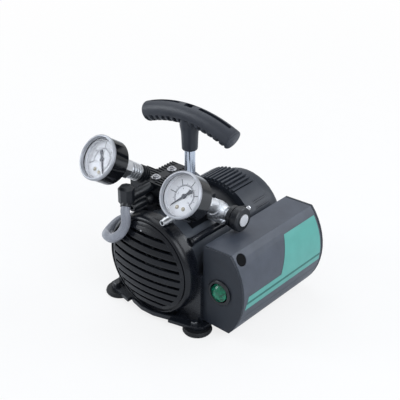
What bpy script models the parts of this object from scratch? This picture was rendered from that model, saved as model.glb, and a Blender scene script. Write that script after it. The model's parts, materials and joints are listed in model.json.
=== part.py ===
"""Rotary vane vacuum pump with two dial gauges, a side switch box and a T handle. Units: metres, +Z up.

The part's origin is on the floor below the middle of its bounding box. Every piece hangs on the
empty pump_axis, whose origin is on the motor axis in the plane of the front cover's groove:
X towards the switch box, Y along the motor axis to the rear, Z up.
"""

from math import asin, cos, degrees, pi, radians, sin, sqrt

import bmesh
import bpy
from mathutils import Euler, Matrix, Vector

# Where the motor axis lies over the floor, seen from above
AXIS_X = -0.0172
AXIS_Y = -0.0762

# Clearances
SEAT_GAP = 0.0003
RUNNING_GAP = 0.0004

# Motor
SHELL_BASE_RADIUS = 0.0510
SHELL_WALL = 0.0040
SHELL_LENGTH = 0.0380
FIN_HEIGHT = 0.0042
FIN_WIDTH = 0.0026
FIN_FIRST_DEG = 66.0
FIN_STEP_DEG = 5.6
TOP_FINS = 10
TOP_RISE = 0.0055
PAD_LOW_DEG = 24.0
PAD_SLOTS = 2
PAD_SLOT_FIRST_DEG = 35.8
PAD_SLOT_STEP_DEG = 6.8
PAD_SLOT_WIDTH = 0.0026
PAD_SLOT_DEPTH = 0.0030
PAD_SLOT_SETBACK = 0.0130
BOX_LUG_HEIGHT = 0.0245
BELL_STEP = 0.0020
BELL_LENGTH = 0.0170
BELL_WALL = 0.0045
BELL_HOLE_RADIUS = 0.0100
REAR_STEP = 0.0020
REAR_LENGTH = 0.0260
REAR_WALL = 0.0030
REAR_ROUND_DEPTH = 0.0109
REAR_ROUND_WIDTH = 0.0117
MOTOR_ROTOR_RADIUS = 0.0268
AIR_GAP = 0.0007
WINDING_THICKNESS = 0.0065
WINDING_SHELL_GAP = 0.0040
WINDING_END = 0.0045
STATOR_LENGTH = 0.0240

# Front cover: dome, groove and rim
COVER_OVERHANG = 0.0048
COVER_WALL = 0.0025
COVER_BACK = 0.0140
COVER_LIP = 0.0010
RIM_WIDTH = 0.0045
RIM_DEPTH = 0.0084
GROOVE_WIDTH = 0.0018
GROOVE_DEPTH = 0.0018
DOME_EDGE = 0.0005
DOME_RISE = 0.0100
LOUVRE_PITCH = 0.0103
LOUVRE_HEIGHT = 0.0034
LOUVRE_MARGIN = 0.0038
LOUVRE_SHORTEST = 0.0500

# Barrel between the cover and the motor
PLATE_THICKNESS = 0.0047
PLATE_FLANGE = 0.0080
BARREL_STEP = 0.0010
BARREL_WALL = 0.0030
BARREL_LENGTH = 0.0800
ROD_RADIUS = 0.0042
ROD_CLEARANCE = 0.0022
ROD_ANGLE_DEG = 40.3
ROD_LUG_RADIUS = 0.0066

# Vane pump inside the barrel
END_PLATE_SETBACK = 0.0027
END_PLATE_LENGTH = 0.0080
CYLINDER_LENGTH = 0.0400
CYLINDER_FLOOR = 0.0080
BORE_OFFSET = 0.0040
PUMP_ROTOR_RADIUS = 0.0235
VANE_THICKNESS = 0.0038
VANE_LENGTH = 0.0110
VANE_SETBACK = 0.0040
BEARING_RADIUS = 0.0110
BEARING_LENGTH = 0.0070
SHAFT_RADIUS = 0.0050
SHAFT_FRONT = 0.0030
FAN_CLEARANCE = 0.0145
FAN_HUB_RADIUS = 0.0090
FAN_START = 0.0040
FAN_DEPTH = 0.0085
FAN_BLADES = 9
BLADE_THICKNESS = 0.0016

# Feet
FOOT_X = 0.0600
FOOT_RADIUS = 0.0170
FOOT_HEIGHT = 0.0067
FOOT_EDGE = 0.0015
FOOT_FRONT_Y = 0.0135
FOOT_REAR_SETBACK = 0.0069
EAR_CLEARANCE = 0.0018
EAR_THICKNESS = 0.0040
EAR_COVER_GAP = 0.0123
EAR_MARGIN = 0.0110
EAR_FRONT = 0.0168
EAR_BACK = 0.0155
EAR_SWEEP = 0.0070
EAR_SWEEP_DEPTH = 0.0075
EAR_CORNER_DEPTH = 0.0137
WEB_HALF_WIDTH = 0.0620
WEB_HEIGHT = 0.0270
WEB_BOX_LAP = 0.0005
WEB_BOX_HEIGHT = 0.0610
SILL_HALF_WIDTH = 0.0420
SILL_REACH = 0.0042
SILL_SWEEP = 0.0140
SILL_THICKNESS = 0.0030
SILL_RISE = 0.0040
SILL_COVER_GAP = 0.0004
SILL_FLOOR_THICKNESS = 0.0020
SADDLE_HALF_WIDTH = 0.0340
SADDLE_DEPTH = 0.0120
SADDLE_HEIGHT = 0.0213
REAR_EAR_DEPTH = 0.0290

# Switch box beside the motor
BOX_GAP = 0.0081
BOX_TOP_WIDTH = 0.0366
BOX_BULGE = 0.0181
BOX_KNOB_GAP = 0.0029
BOX_EAR_GAP = 0.0005
BOX_TAPER = 0.0012
BOX_LENGTH = 0.1500
BOX_WALL = 0.0025
BOX_CAP = 0.0030
BOX_HOLE_RADIUS = 0.0070
BOX_HOLE_FROM_FRONT = 0.0130
BOX_HOLE_DROP = 0.0062
PLUG_RECESS = 0.0006
PLUG_THICKNESS = 0.0020
SWITCH_FROM_SIDE = 0.0239
SWITCH_FROM_BOTTOM = 0.0474
SWITCH_FLANGE_RADIUS = 0.0150
SWITCH_FLANGE = 0.0022
SWITCH_BARREL_RADIUS = 0.0128
SWITCH_BARREL_LENGTH = 0.0160
SWITCH_WALL = 0.0012
ROCKER_GAP = 0.0008
ROCKER_THICKNESS = 0.0060
ROCKER_CROWN = 0.0015
ROCKER_PROUD = 0.0035
ROCKER_TILT_DEG = 7.0
CAPACITOR_RADIUS = 0.0170
CAPACITOR_LENGTH = 0.0750
CAPACITOR_FROM_SIDE = 0.0207
INLET_FROM_SIDE = 0.0207
INLET_FROM_BOTTOM = 0.0673
INLET_WIDTH = 0.0270
INLET_HEIGHT = 0.0195
INLET_DEPTH = 0.0180
INLET_FLANGE = 0.0035
INLET_WALL = 0.0025

# Finned head on the barrel
HEAD_LEFT_X = -0.0650
HEAD_STEP = 0.0140
HEAD_WIDTH = 0.0490
HEAD_FRONT_Y = 0.0420
HEAD_STEP_BACK = 0.0280
HEAD_LENGTH = 0.0555
HEAD_DROP = 0.0220
HEAD_BASE_HEIGHT = 0.0180
HEAD_BODY_HEIGHT = 0.0140
HEAD_FIN_HEIGHT = 0.0160
HEAD_FIN_PITCH = 0.0046
HEAD_FIN_GAP = 0.0024
FRONT_GROOVES = 3
FRONT_GROOVE_DEPTH = 0.0035
FRONT_GROOVE_START = 0.0028
STRIP_FROM_SIDE = 0.0295
STRIP_WIDTH = 0.0110
SCREW_FRONT_BACK = 0.0114
SCREW_REAR_BACK = 0.0380
WASHER_RADIUS = 0.0056
WASHER_THICKNESS = 0.0012
SCREW_HEAD_RADIUS = 0.0036
SCREW_HEAD_HEIGHT = 0.0020
SCREW_SOCKET_RADIUS = 0.0020

# Pneumatic fittings
ELBOW_X = -0.0351
ELBOW_Y = 0.0050
ELBOW_RADIUS = 0.0092
ELBOW_EDGE = 0.0028
ELBOW_ARM_RADIUS = 0.0062
ELBOW_ARM_DROP = 0.0062
ELBOW_ABOVE = 0.0157
ELBOW_BELOW = 0.0038
OUTLET_RADIUS = 0.0062
NOZZLE_X = -0.0345
NOZZLE_COVER_GAP = 0.0004
NOZZLE_LENGTH = 0.0217
NOZZLE_RADIUS = 0.0047
NOZZLE_BORE = 0.0022
NOZZLE_COLLAR_RADIUS = 0.0072
NOZZLE_COLLAR_EDGE = 0.0014
NOZZLE_COLLAR_TAPER = 0.0028
NOZZLE_COLLAR_LENGTH = 0.0080
BARB_X = 0.0220
BARB_OVER_COVER = 0.0020
BARB_TIP_Y = 0.0000
BARB_LENGTH = 0.0400
BARB_RADIUS = 0.0045
BARB_ROOT = 0.0010
BARB_TIP_STEP = 0.0013
BARB_PITCH = 0.0054
BARB_START = 0.0014
BARB_BORE = 0.0024
BARB_NUT_RADIUS = 0.0065
BARB_NUT_LENGTH = 0.0090
MANIFOLD_WIDTH = 0.0160
MANIFOLD_LENGTH = 0.0397
MANIFOLD_OVER_BARB = 0.0070
HOSE_RADIUS = 0.0053
SPIGOT_Y = 0.0400
SPIGOT_Z = 0.0200
SPIGOT_RADIUS = 0.0065
SPIGOT_END_X = -0.0560

# Gauges
LEFT_TILT_DEG = 34.1
LEFT_YAW_DEG = -6.1
RIGHT_TILT_DEG = 33.9
RIGHT_YAW_DEG = 1.8
GAUGE_CASE_RADIUS = 0.0250
GAUGE_CASE_DEPTH = 0.0235
GAUGE_CASE_WALL = 0.0015
GAUGE_BEZEL_STEP = 0.0007
GAUGE_BEZEL_DEPTH = 0.0040
GAUGE_BEZEL_WIDTH = 0.0035
GAUGE_BEZEL_BEVEL = 0.0013
LEFT_STEM_LENGTH = 0.0399
RIGHT_STEM_LENGTH = 0.0410
GAUGE_STEM_RADIUS = 0.0085
GAUGE_NUT_RADIUS = 0.0120
GAUGE_NUT_LENGTH = 0.0130
GAUGE_NUT_BACK = 0.0015
GAUGE_COLLAR_LENGTH = 0.0060
DIAL_THICKNESS = 0.0010
DIAL_DEPTH = 0.0060
LENS_THICKNESS = 0.0018
POINTER_LENGTH = 0.0165
POINTER_TAIL = 0.0085
POINTER_THICKNESS = 0.0012
POINTER_HUB_RADIUS = 0.0026
POINTER_HALF_WIDTH = 0.0009
POINTER_TIP_HALF_WIDTH = 0.00035
POINTER_WEIGHT_RADIUS = 0.0023
LEFT_FOOT_FROM_SIDE = 0.0133
LEFT_FOOT_AHEAD = 0.0020
LEFT_FOOT_LIFT = 0.0070
RIGHT_FOOT_FROM_PORT = 0.0140
RIGHT_FOOT_AHEAD = 0.0090
RIGHT_FOOT_LIFT = 0.0085
LEFT_BOSS_LENGTH = 0.0125
LEFT_BOSS_RADIUS = 0.0088
LEFT_POINTER_DEG = 306.0
RIGHT_POINTER_DEG = 228.0

# Regulator
TEE_Y = 0.0678
TEE_HEIGHT = 0.0074
TEE_RADIUS = 0.0104
TEE_LENGTH = 0.0200
TEE_SHOULDER_RADIUS = 0.0080
TEE_SHOULDER_LENGTH = 0.0070
TEE_BRANCH_RADIUS = 0.0094
TEE_BRANCH_LENGTH = 0.0130
TEE_LEG_RADIUS = 0.0065
TEE_LEG_BACK = 0.0033
TEE_FOOT_DEPTH = 0.0140
TEE_FOOT_THICKNESS = 0.0030
TEE_FOOT_DROP = 0.0138
TEE_FOOT_OVERHANG = 0.0030
NECK_RADIUS = 0.0052
NECK_LENGTH = 0.0095
NEEDLE_RADIUS = 0.0025
NEEDLE_TIP_RADIUS = 0.0010
NEEDLE_TAPER = 0.0050
NEEDLE_LENGTH = 0.0200
NEEDLE_TRAVEL = 0.0031
KNOB_BORE_SPARE = 0.0031
KNOB_OVERLAP = 0.0040
KNOB_LENGTH = 0.0165
KNOB_RADIUS = 0.0138
KNOB_EDGE = 0.0012
KNOB_STEP_RADIUS = 0.0124
KNOB_STEP_LENGTH = 0.0070
KNOB_GROOVE = 0.0026
KNOB_CAP_RADIUS = 0.0070
KNOB_CAP_THICKNESS = 0.0012

# Handle
POST_Y = 0.0710
POST_RADIUS = 0.0060
POST_SEAT = 0.0060
POST_SHOWN = 0.0310
POST_IN_GRIP = 0.0310
BOSS_RADIUS = 0.0120
BOSS_TOP_RADIUS = 0.0085
BOSS_HEIGHT = 0.0360
GRIP_HALF_LENGTH = 0.0628
GRIP_RADIUS = 0.0112
GRIP_EDGE = 0.0016
GRIP_DROOP = 0.0133
GRIP_STEM_LENGTH = 0.0412
GRIP_STEM_TOP_RADIUS = 0.0103
GRIP_STEM_RADIUS = 0.0089
GRIP_SCALLOP = 0.0012
GRIP_SCALLOPS = 12
GRIP_SLOT_WIDTH = 0.0045
GRIP_SLOT_DEPTH = 0.0030
GRIP_SLOT_START = 0.0130
GRIP_SLOT_END = 0.0540
GRIP_POCKET_HALF = 0.0050
GRIP_POCKET_DEPTH = 0.0040

# The hose's route from the elbow down, round in a loop and back to the barrel's spigot, (x, y, z)
HOSE_ROUTE = [
    (-0.0315, -0.0005, 0.0623),
    (-0.0298, -0.0031, 0.0587),
    (-0.0281, -0.0068, 0.0535),
    (-0.0274, -0.0100, 0.0462),
    (-0.0288, -0.0127, 0.0383),
    (-0.0336, -0.0150, 0.0305),
    (-0.0414, -0.0145, 0.0242),
    (-0.0533, -0.0098, 0.0190),
    (-0.0654, -0.0024, 0.0136),
    (-0.0727, 0.0074, 0.0127),
    (-0.0752, 0.0168, 0.0139),
    (-0.0740, 0.0253, 0.0162),
    (-0.0697, 0.0323, 0.0185),
    (-0.0643, 0.0378, 0.0197),
    (-0.0595, 0.0399, 0.0200),
    (-0.0563, 0.0400, 0.0200),
]

BLACK = (0.020, 0.021, 0.025)
CHARCOAL = (0.060, 0.063, 0.075)
CHROME = (0.80, 0.80, 0.82)
STEEL = (0.55, 0.55, 0.57)

MATERIALS = {}


def material(name, colour, roughness, metallic=0.0, alpha=1.0):
    if name not in MATERIALS:
        made = bpy.data.materials.new(name)
        made.use_nodes = True
        shader = made.node_tree.nodes["Principled BSDF"]
        shader.inputs["Base Color"].default_value = (*colour, 1.0)
        shader.inputs["Roughness"].default_value = roughness
        shader.inputs["Metallic"].default_value = metallic
        shader.inputs["Alpha"].default_value = alpha
        MATERIALS[name] = made
    return MATERIALS[name]


def black_paint():
    return material("black_paint", BLACK, 0.45)


def charcoal_paint():
    return material("charcoal_paint", CHARCOAL, 0.5)


def black_plastic():
    return material("black_plastic", BLACK, 0.5)


def gloss_black():
    return material("gloss_black", BLACK, 0.12)


def rubber():
    return material("rubber", (0.018, 0.018, 0.019), 0.8)


def chrome():
    return material("chrome", CHROME, 0.12, 1.0)


def steel():
    return material("steel", STEEL, 0.35, 1.0)


def mesh_object(name, bm, surface, cutter=False):
    """An object from a bmesh, hung on the pump's axis and shaded smooth except at its sharp edges."""
    bmesh.ops.remove_doubles(bm, verts=bm.verts, dist=1e-7)
    bmesh.ops.recalc_face_normals(bm, faces=bm.faces)
    mesh = bpy.data.meshes.new(name)
    bm.to_mesh(mesh)
    bm.free()
    mesh.shade_smooth()
    mesh.set_sharp_from_angle(angle=radians(35))
    made = bpy.data.objects.new(name, mesh)
    bpy.context.scene.collection.objects.link(made)
    made.parent = PUMP_AXIS
    if surface:
        mesh.materials.append(surface)
    if cutter:
        made.hide_render = True
        made.display_type = "WIRE"
    return made


def turned_bmesh(profile, segments, closed):
    """A profile of (radius, height) points spun about Z. A closed profile makes a ring."""
    bm = bmesh.new()
    points = [bm.verts.new((radius, 0.0, height)) for radius, height in profile]
    edges = [bm.edges.new(pair) for pair in zip(points, points[1:])]
    if closed:
        edges.append(bm.edges.new((points[-1], points[0])))
    bmesh.ops.spin(
        bm, geom=points + edges, axis=(0, 0, 1), cent=(0, 0, 0), angle=2 * pi, steps=segments, use_merge=True
    )
    bmesh.ops.remove_doubles(bm, verts=bm.verts, dist=1e-7)
    return bm


ALONG_Y = Euler((-pi / 2, 0, 0))
ALONG_X = Euler((0, pi / 2, 0))
UPRIGHT = Euler((0, 0, 0))


def turned(name, profile, segments, surface, place=(0, 0, 0), turn=ALONG_Y, cutter=False):
    """A turned solid. Its profile starts and ends on the axis, or else closes on itself as a ring."""
    on_axis = profile[0][0] == 0 and profile[-1][0] == 0
    made = mesh_object(name, turned_bmesh(profile, segments, not on_axis), surface, cutter)
    made.location = place
    made.rotation_euler = turn
    return made


def tube_profile(outer, inner, start, end):
    return [(outer, start), (outer, end), (inner, end), (inner, start)]


def rod_profile(radius, start, end):
    return [(0, start), (radius, start), (radius, end), (0, end)]


def prism_bmesh(outline, low, high):
    """A closed (x, y) outline extruded from z = low to z = high."""
    bm = bmesh.new()
    face = bm.faces.new([bm.verts.new((x, y, low)) for x, y in outline])
    grown = bmesh.ops.extrude_face_region(bm, geom=[face])
    moved = [item for item in grown["geom"] if isinstance(item, bmesh.types.BMVert)]
    bmesh.ops.translate(bm, verts=moved, vec=(0, 0, high - low))
    return bm


def prism(name, outline, low, high, surface, cutter=False):
    return mesh_object(name, prism_bmesh(outline, low, high), surface, cutter)


def wall(name, outline, start, end, surface, cutter=False):
    """An (x, z) outline extruded along Y from start to end."""
    flipped = [(x, -z) for x, z in outline]
    made = mesh_object(name, prism_bmesh(flipped, start, end), surface, cutter)
    made.rotation_euler = ALONG_Y
    return made


def add_block(bm, low, high):
    """Adds a box between two corners to a bmesh."""
    middle = (Vector(low) + Vector(high)) / 2
    size = Vector(high) - Vector(low)
    matrix = Matrix.Translation(middle) @ Matrix.Diagonal((*size, 1.0))
    bmesh.ops.create_cube(bm, size=1.0, matrix=matrix)


def blocks(name, corners, surface, cutter=False):
    """One object of boxes, each given by its two corners."""
    bm = bmesh.new()
    for low, high in corners:
        add_block(bm, low, high)
    return mesh_object(name, bm, surface, cutter)


def combine(target, other, operation):
    modifier = target.modifiers.new(operation.lower() + "_" + other.name, "BOOLEAN")
    modifier.operation = operation
    modifier.object = other
    modifier.solver = "EXACT"
    other.hide_render = True
    other.display_type = "WIRE"


def cut(target, cutter):
    combine(target, cutter, "DIFFERENCE")


def join(target, other):
    combine(target, other, "UNION")


def arc(radius, start_deg, end_deg, steps, centre=(0.0, 0.0)):
    """Points on a circle, with both ends."""
    angles = [radians(start_deg + (end_deg - start_deg) * i / steps) for i in range(steps + 1)]
    return [(centre[0] + radius * cos(angle), centre[1] + radius * sin(angle)) for angle in angles]


def clear_scene():
    for old in list(bpy.data.objects):
        bpy.data.objects.remove(old)


def make_axis():
    axis = bpy.data.objects.new("pump_axis", None)
    bpy.context.scene.collection.objects.link(axis)
    axis.location = (AXIS_X, AXIS_Y, AXIS_HEIGHT)
    return axis


# Radii about the motor axis, worked out from the sizes above
SHELL_FIN_RADIUS = SHELL_BASE_RADIUS + FIN_HEIGHT
SHELL_TOP_RADIUS = SHELL_FIN_RADIUS + TOP_RISE
SHELL_BORE_RADIUS = SHELL_BASE_RADIUS - SHELL_WALL
REAR_RADIUS = SHELL_BASE_RADIUS + REAR_STEP
WINDING_BORE = MOTOR_ROTOR_RADIUS + AIR_GAP
STATOR_BORE = WINDING_BORE + WINDING_THICKNESS
WINDING_OUTER = SHELL_BORE_RADIUS - WINDING_SHELL_GAP
COVER_RADIUS = SHELL_FIN_RADIUS + COVER_OVERHANG
GROOVE_OUTER = COVER_RADIUS - RIM_WIDTH
GROOVE_INNER = GROOVE_OUTER - GROOVE_WIDTH
DOME_RADIUS = GROOVE_INNER - DOME_EDGE
BARREL_RADIUS = SHELL_BASE_RADIUS - BARREL_STEP
PLATE_RADIUS = BARREL_RADIUS + PLATE_FLANGE
BARREL_INSIDE = BARREL_RADIUS - BARREL_WALL
BELL_RADIUS = BARREL_RADIUS + BELL_STEP
ROD_CIRCLE = BARREL_RADIUS + ROD_CLEARANCE + ROD_RADIUS
ROD_X = ROD_CIRCLE * cos(radians(ROD_ANGLE_DEG))
ROD_Z = ROD_CIRCLE * sin(radians(ROD_ANGLE_DEG))
BORE_RADIUS = PUMP_ROTOR_RADIUS + BORE_OFFSET + RUNNING_GAP
VANE_OUTER = PUMP_ROTOR_RADIUS - VANE_SETBACK
VANE_INNER = VANE_OUTER - VANE_LENGTH
BEARING_BORE = SHAFT_RADIUS + SEAT_GAP
SHAFT_HOLE = SHAFT_RADIUS + RUNNING_GAP
BEARING_SEAT = BEARING_RADIUS + SEAT_GAP
FAN_RADIUS = COVER_RADIUS - COVER_WALL - FAN_CLEARANCE

# Places along the motor axis
PLATE_START = COVER_BACK + SEAT_GAP
PLATE_END = PLATE_START + PLATE_THICKNESS
BARREL_START = PLATE_END + SEAT_GAP
BARREL_END = BARREL_START + BARREL_LENGTH
END_PLATE_START = BARREL_START + END_PLATE_SETBACK
END_PLATE_END = END_PLATE_START + END_PLATE_LENGTH
CYLINDER_START = END_PLATE_END + SEAT_GAP
BORE_END = CYLINDER_START + CYLINDER_LENGTH
CYLINDER_END = BORE_END + CYLINDER_FLOOR
BELL_START = BARREL_END + SEAT_GAP
BELL_END = BELL_START + BELL_LENGTH
SHELL_START = BELL_END + SEAT_GAP
SHELL_END = SHELL_START + SHELL_LENGTH
REAR_START = SHELL_END + SEAT_GAP
REAR_END = REAR_START + REAR_LENGTH
STATOR_START = (SHELL_START + SHELL_END - STATOR_LENGTH) / 2
STATOR_END = STATOR_START + STATOR_LENGTH
FRONT_BEARING_START = END_PLATE_START + SEAT_GAP
REAR_BEARING_END = REAR_END - REAR_WALL - SEAT_GAP
REAR_BEARING_START = REAR_BEARING_END - BEARING_LENGTH
SHAFT_END = REAR_BEARING_END - SEAT_GAP
FOOT_REAR_Y = SHELL_END - FOOT_REAR_SETBACK
BOX_FRONT = BARREL_START
BOX_END = BOX_FRONT + BOX_LENGTH

# Heights of the feet and the box
EAR_TOP_Z = -SHELL_FIN_RADIUS - EAR_CLEARANCE
EAR_BOTTOM_Z = EAR_TOP_Z - EAR_THICKNESS
AXIS_HEIGHT = FOOT_HEIGHT + SEAT_GAP - EAR_BOTTOM_Z
SILL_TOP_Z = SILL_RISE - COVER_RADIUS
SILL_FLOOR_Z = -COVER_RADIUS - SILL_COVER_GAP
EAR_INNER_X = sqrt(COVER_RADIUS**2 - EAR_TOP_Z**2) + EAR_COVER_GAP
EAR_OUTER_X = FOOT_X + EAR_MARGIN
BOX_INNER_X = SHELL_FIN_RADIUS + BOX_GAP
WEB_BOX_X = BOX_INNER_X + WEB_BOX_LAP
BOX_TOP_X = BOX_INNER_X + BOX_TOP_WIDTH
BOX_BULGE_X = BOX_TOP_X + BOX_BULGE
BOX_BOTTOM_Z = EAR_TOP_Z + BOX_EAR_GAP + BOX_TAPER
BOX_TOP_Z = BARREL_RADIUS + TEE_HEIGHT - KNOB_RADIUS - BOX_KNOB_GAP
BOX_HOLE_Z = BOX_TOP_Z - BOX_HOLE_DROP
SWITCH_X = BOX_INNER_X + SWITCH_FROM_SIDE
SWITCH_Z = BOX_BOTTOM_Z + SWITCH_FROM_BOTTOM
ROCKER_RADIUS = SWITCH_BARREL_RADIUS - SWITCH_WALL - ROCKER_GAP
CAPACITOR_X = BOX_INNER_X + CAPACITOR_FROM_SIDE
INLET_X = BOX_INNER_X + INLET_FROM_SIDE
INLET_Z = BOX_BOTTOM_Z + INLET_FROM_BOTTOM

# Places on top of the barrel
HEAD_RIGHT_X = HEAD_LEFT_X + HEAD_WIDTH
HEAD_STEP_Y = HEAD_FRONT_Y + HEAD_STEP_BACK
HEAD_BACK_Y = HEAD_FRONT_Y + HEAD_LENGTH
HEAD_BOTTOM_Z = BARREL_RADIUS - HEAD_DROP
HEAD_SPLIT_Z = HEAD_BOTTOM_Z + HEAD_BASE_HEIGHT
HEAD_FLOOR_Z = HEAD_SPLIT_Z + HEAD_BODY_HEIGHT
HEAD_TOP_Z = HEAD_FLOOR_Z + HEAD_FIN_HEIGHT
STRIP_X = HEAD_LEFT_X + STRIP_FROM_SIDE
ELBOW_ARM_Z = HEAD_TOP_Z - ELBOW_ARM_DROP
NOZZLE_Z = sqrt((COVER_RADIUS + NOZZLE_COVER_GAP + NOZZLE_RADIUS) ** 2 - NOZZLE_X**2)
NOZZLE_COLLAR_START = HEAD_FRONT_Y - SEAT_GAP - NOZZLE_COLLAR_LENGTH
NOZZLE_TIP_Y = NOZZLE_COLLAR_START - NOZZLE_LENGTH
BARB_Z = COVER_RADIUS + BARB_OVER_COVER
BARB_END_Y = BARB_TIP_Y + BARB_LENGTH
MANIFOLD_LEFT_X = BARB_X - MANIFOLD_WIDTH / 2
MANIFOLD_RIGHT_X = BARB_X + MANIFOLD_WIDTH / 2
TEE_Z = BARREL_RADIUS + TEE_HEIGHT
TEE_END_X = MANIFOLD_RIGHT_X + TEE_LENGTH
TEE_SHOULDER_X = TEE_END_X + TEE_SHOULDER_LENGTH
NECK_END_X = TEE_SHOULDER_X + NECK_LENGTH
KNOB_START_X = NECK_END_X - KNOB_OVERLAP
LEFT_FOOT_X = HEAD_LEFT_X + LEFT_FOOT_FROM_SIDE
LEFT_FOOT_Y = HEAD_FRONT_Y - LEFT_FOOT_AHEAD
LEFT_FOOT_Z = HEAD_TOP_Z + LEFT_FOOT_LIFT
RIGHT_FOOT_X = MANIFOLD_RIGHT_X + RIGHT_FOOT_FROM_PORT
RIGHT_FOOT_Y = TEE_Y - RIGHT_FOOT_AHEAD
RIGHT_FOOT_Z = TEE_Z + RIGHT_FOOT_LIFT
POST_BOTTOM_Z = BARREL_RADIUS + POST_SEAT
BOSS_TOP_Z = BARREL_RADIUS + BOSS_HEIGHT
GRIP_STEM_BOTTOM_Z = BOSS_TOP_Z + POST_SHOWN
POST_TOP_Z = GRIP_STEM_BOTTOM_Z + POST_IN_GRIP
GRIP_CENTRE_Z = GRIP_STEM_BOTTOM_Z + GRIP_STEM_LENGTH
GRIP_ARC_RADIUS = (GRIP_HALF_LENGTH**2 + GRIP_DROOP**2) / (2 * GRIP_DROOP)


def dome_depth(radius):
    """How far the dome stands in front of the groove's plane at a radius."""
    return DOME_RISE * (1 - (radius / DOME_RADIUS) ** 2)


def front_cover():
    """Louvred dome with a groove round it and a rounded rim that runs back to the foot plate."""
    rings = [DOME_RADIUS * share for share in (0.0, 0.42, 0.78)]
    rim_arc = [
        (GROOVE_OUTER + RIM_WIDTH * sin(radians(angle)), -COVER_LIP + RIM_DEPTH * (1 - cos(radians(angle))))
        for angle in (14, 40, 65, 90)
    ]
    inner = COVER_RADIUS - COVER_WALL
    groove_floor = GROOVE_DEPTH - COVER_LIP
    outside = [(ring, -COVER_LIP - dome_depth(ring)) for ring in rings] + [(GROOVE_INNER, -COVER_LIP)]
    outside += [(GROOVE_INNER, groove_floor), (GROOVE_OUTER, groove_floor), (GROOVE_OUTER, -COVER_LIP)]
    outside += rim_arc + [(COVER_RADIUS, COVER_BACK)]
    inside = [(inner, COVER_BACK), (inner, RIM_DEPTH), (GROOVE_INNER, groove_floor + COVER_WALL)]
    inside += [(ring, COVER_WALL - COVER_LIP - dome_depth(ring)) for ring in reversed(rings)]
    cover = turned("front_cover", outside + inside, 36, charcoal_paint())
    slots = []
    reach = DOME_RADIUS - LOUVRE_MARGIN
    tallest = sqrt(reach**2 - (LOUVRE_SHORTEST / 2) ** 2)
    count = 1 + int(2 * tallest / LOUVRE_PITCH)
    for row in range(count):
        middle = (row - (count - 1) / 2) * LOUVRE_PITCH
        half = sqrt(reach**2 - middle**2)
        low = (-half, -COVER_LIP - DOME_RISE - COVER_WALL, middle - LOUVRE_HEIGHT / 2)
        slots.append((low, (half, COVER_WALL * 2, middle + LOUVRE_HEIGHT / 2)))
    cut(cover, blocks("louvre_cutter", slots, None, True))
    return cover


def ear_outline(side):
    """One foot ear of the front plate, seen from above, with its swept front edge."""
    front = FOOT_FRONT_Y - EAR_FRONT
    back = FOOT_FRONT_Y + EAR_BACK
    points = [
        (EAR_INNER_X, front),
        (EAR_OUTER_X - EAR_SWEEP, front + EAR_SWEEP_DEPTH),
        (EAR_OUTER_X, front + EAR_CORNER_DEPTH),
        (EAR_OUTER_X, back),
        (EAR_INNER_X, back),
    ]
    return [(side * x, y) for x, y in points]


def front_foot_plate():
    """Casting that closes the cover and laps the switch box, with two foot ears and a sill."""
    disc = tube_profile(PLATE_RADIUS, BARREL_INSIDE - BARREL_WALL, PLATE_START, PLATE_END)
    plate = turned("front_foot_plate", disc, 36, black_paint())
    web_top = EAR_TOP_Z + WEB_HEIGHT
    wing_top = EAR_TOP_Z + WEB_BOX_HEIGHT
    web_outline = [
        (-WEB_HALF_WIDTH, EAR_BOTTOM_Z),
        (WEB_BOX_X, EAR_BOTTOM_Z),
        (WEB_BOX_X, wing_top),
        (BARREL_INSIDE, wing_top),
        (SEAT_GAP - PLATE_RADIUS, 0.0),
        (-WEB_HALF_WIDTH, web_top),
    ]
    web = wall("foot_web", web_outline, PLATE_START, PLATE_END, None, True)
    cut(web, turned("web_bore", rod_profile(BARREL_RADIUS, 0, BARREL_END), 36, None, cutter=True))
    join(plate, web)
    for side in (-1, 1):
        join(plate, prism("front_ear", ear_outline(side), EAR_BOTTOM_Z, EAR_TOP_Z, None, True))
    shares = (-1.0, -0.6, -0.2, 0.2, 0.6, 1.0)
    front = -COVER_LIP - SILL_REACH
    edge = [(SILL_HALF_WIDTH * share, front + SILL_SWEEP * share**2) for share in shares]
    sill = edge + [(x, y + SILL_THICKNESS) for x, y in reversed(edge)]
    join(plate, prism("front_sill", sill, EAR_BOTTOM_Z, SILL_TOP_Z, None, True))
    back = (PLATE_START + PLATE_END) / 2
    floor = [(x, y + SILL_THICKNESS / 2) for x, y in edge]
    floor += [(SILL_HALF_WIDTH, back), (-SILL_HALF_WIDTH, back)]
    floor_bottom = SILL_FLOOR_Z - SILL_FLOOR_THICKNESS
    join(plate, prism("sill_floor", floor, floor_bottom, SILL_FLOOR_Z, None, True))
    return plate


def rear_foot_plate():
    """Saddle under the motor shell with an ear for each rear foot."""
    front = FOOT_REAR_Y - REAR_EAR_DEPTH / 2
    back = FOOT_REAR_Y + REAR_EAR_DEPTH / 2
    corner = EAR_SWEEP
    outline = [
        (-EAR_OUTER_X, front + corner),
        (-EAR_OUTER_X + corner, front),
        (EAR_OUTER_X - corner, front),
        (EAR_OUTER_X, front + corner),
        (EAR_OUTER_X, back - corner),
        (EAR_OUTER_X - corner, back),
        (-EAR_OUTER_X + corner, back),
        (-EAR_OUTER_X, back - corner),
    ]
    plate = prism("rear_foot_plate", outline, EAR_BOTTOM_Z, EAR_TOP_Z, black_paint())
    saddle_end = SHELL_END - SEAT_GAP
    saddle_low = (-SADDLE_HALF_WIDTH, saddle_end - SADDLE_DEPTH, EAR_BOTTOM_Z + EAR_THICKNESS / 2)
    saddle_high = (SADDLE_HALF_WIDTH, saddle_end, EAR_TOP_Z + SADDLE_HEIGHT)
    saddle = blocks("saddle", [(saddle_low, saddle_high)], None, True)
    profile = rod_profile(SHELL_FIN_RADIUS + SEAT_GAP, BELL_START, REAR_END)
    cut(saddle, turned("saddle_bore", profile, 36, None, cutter=True))
    join(plate, saddle)
    return plate


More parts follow.
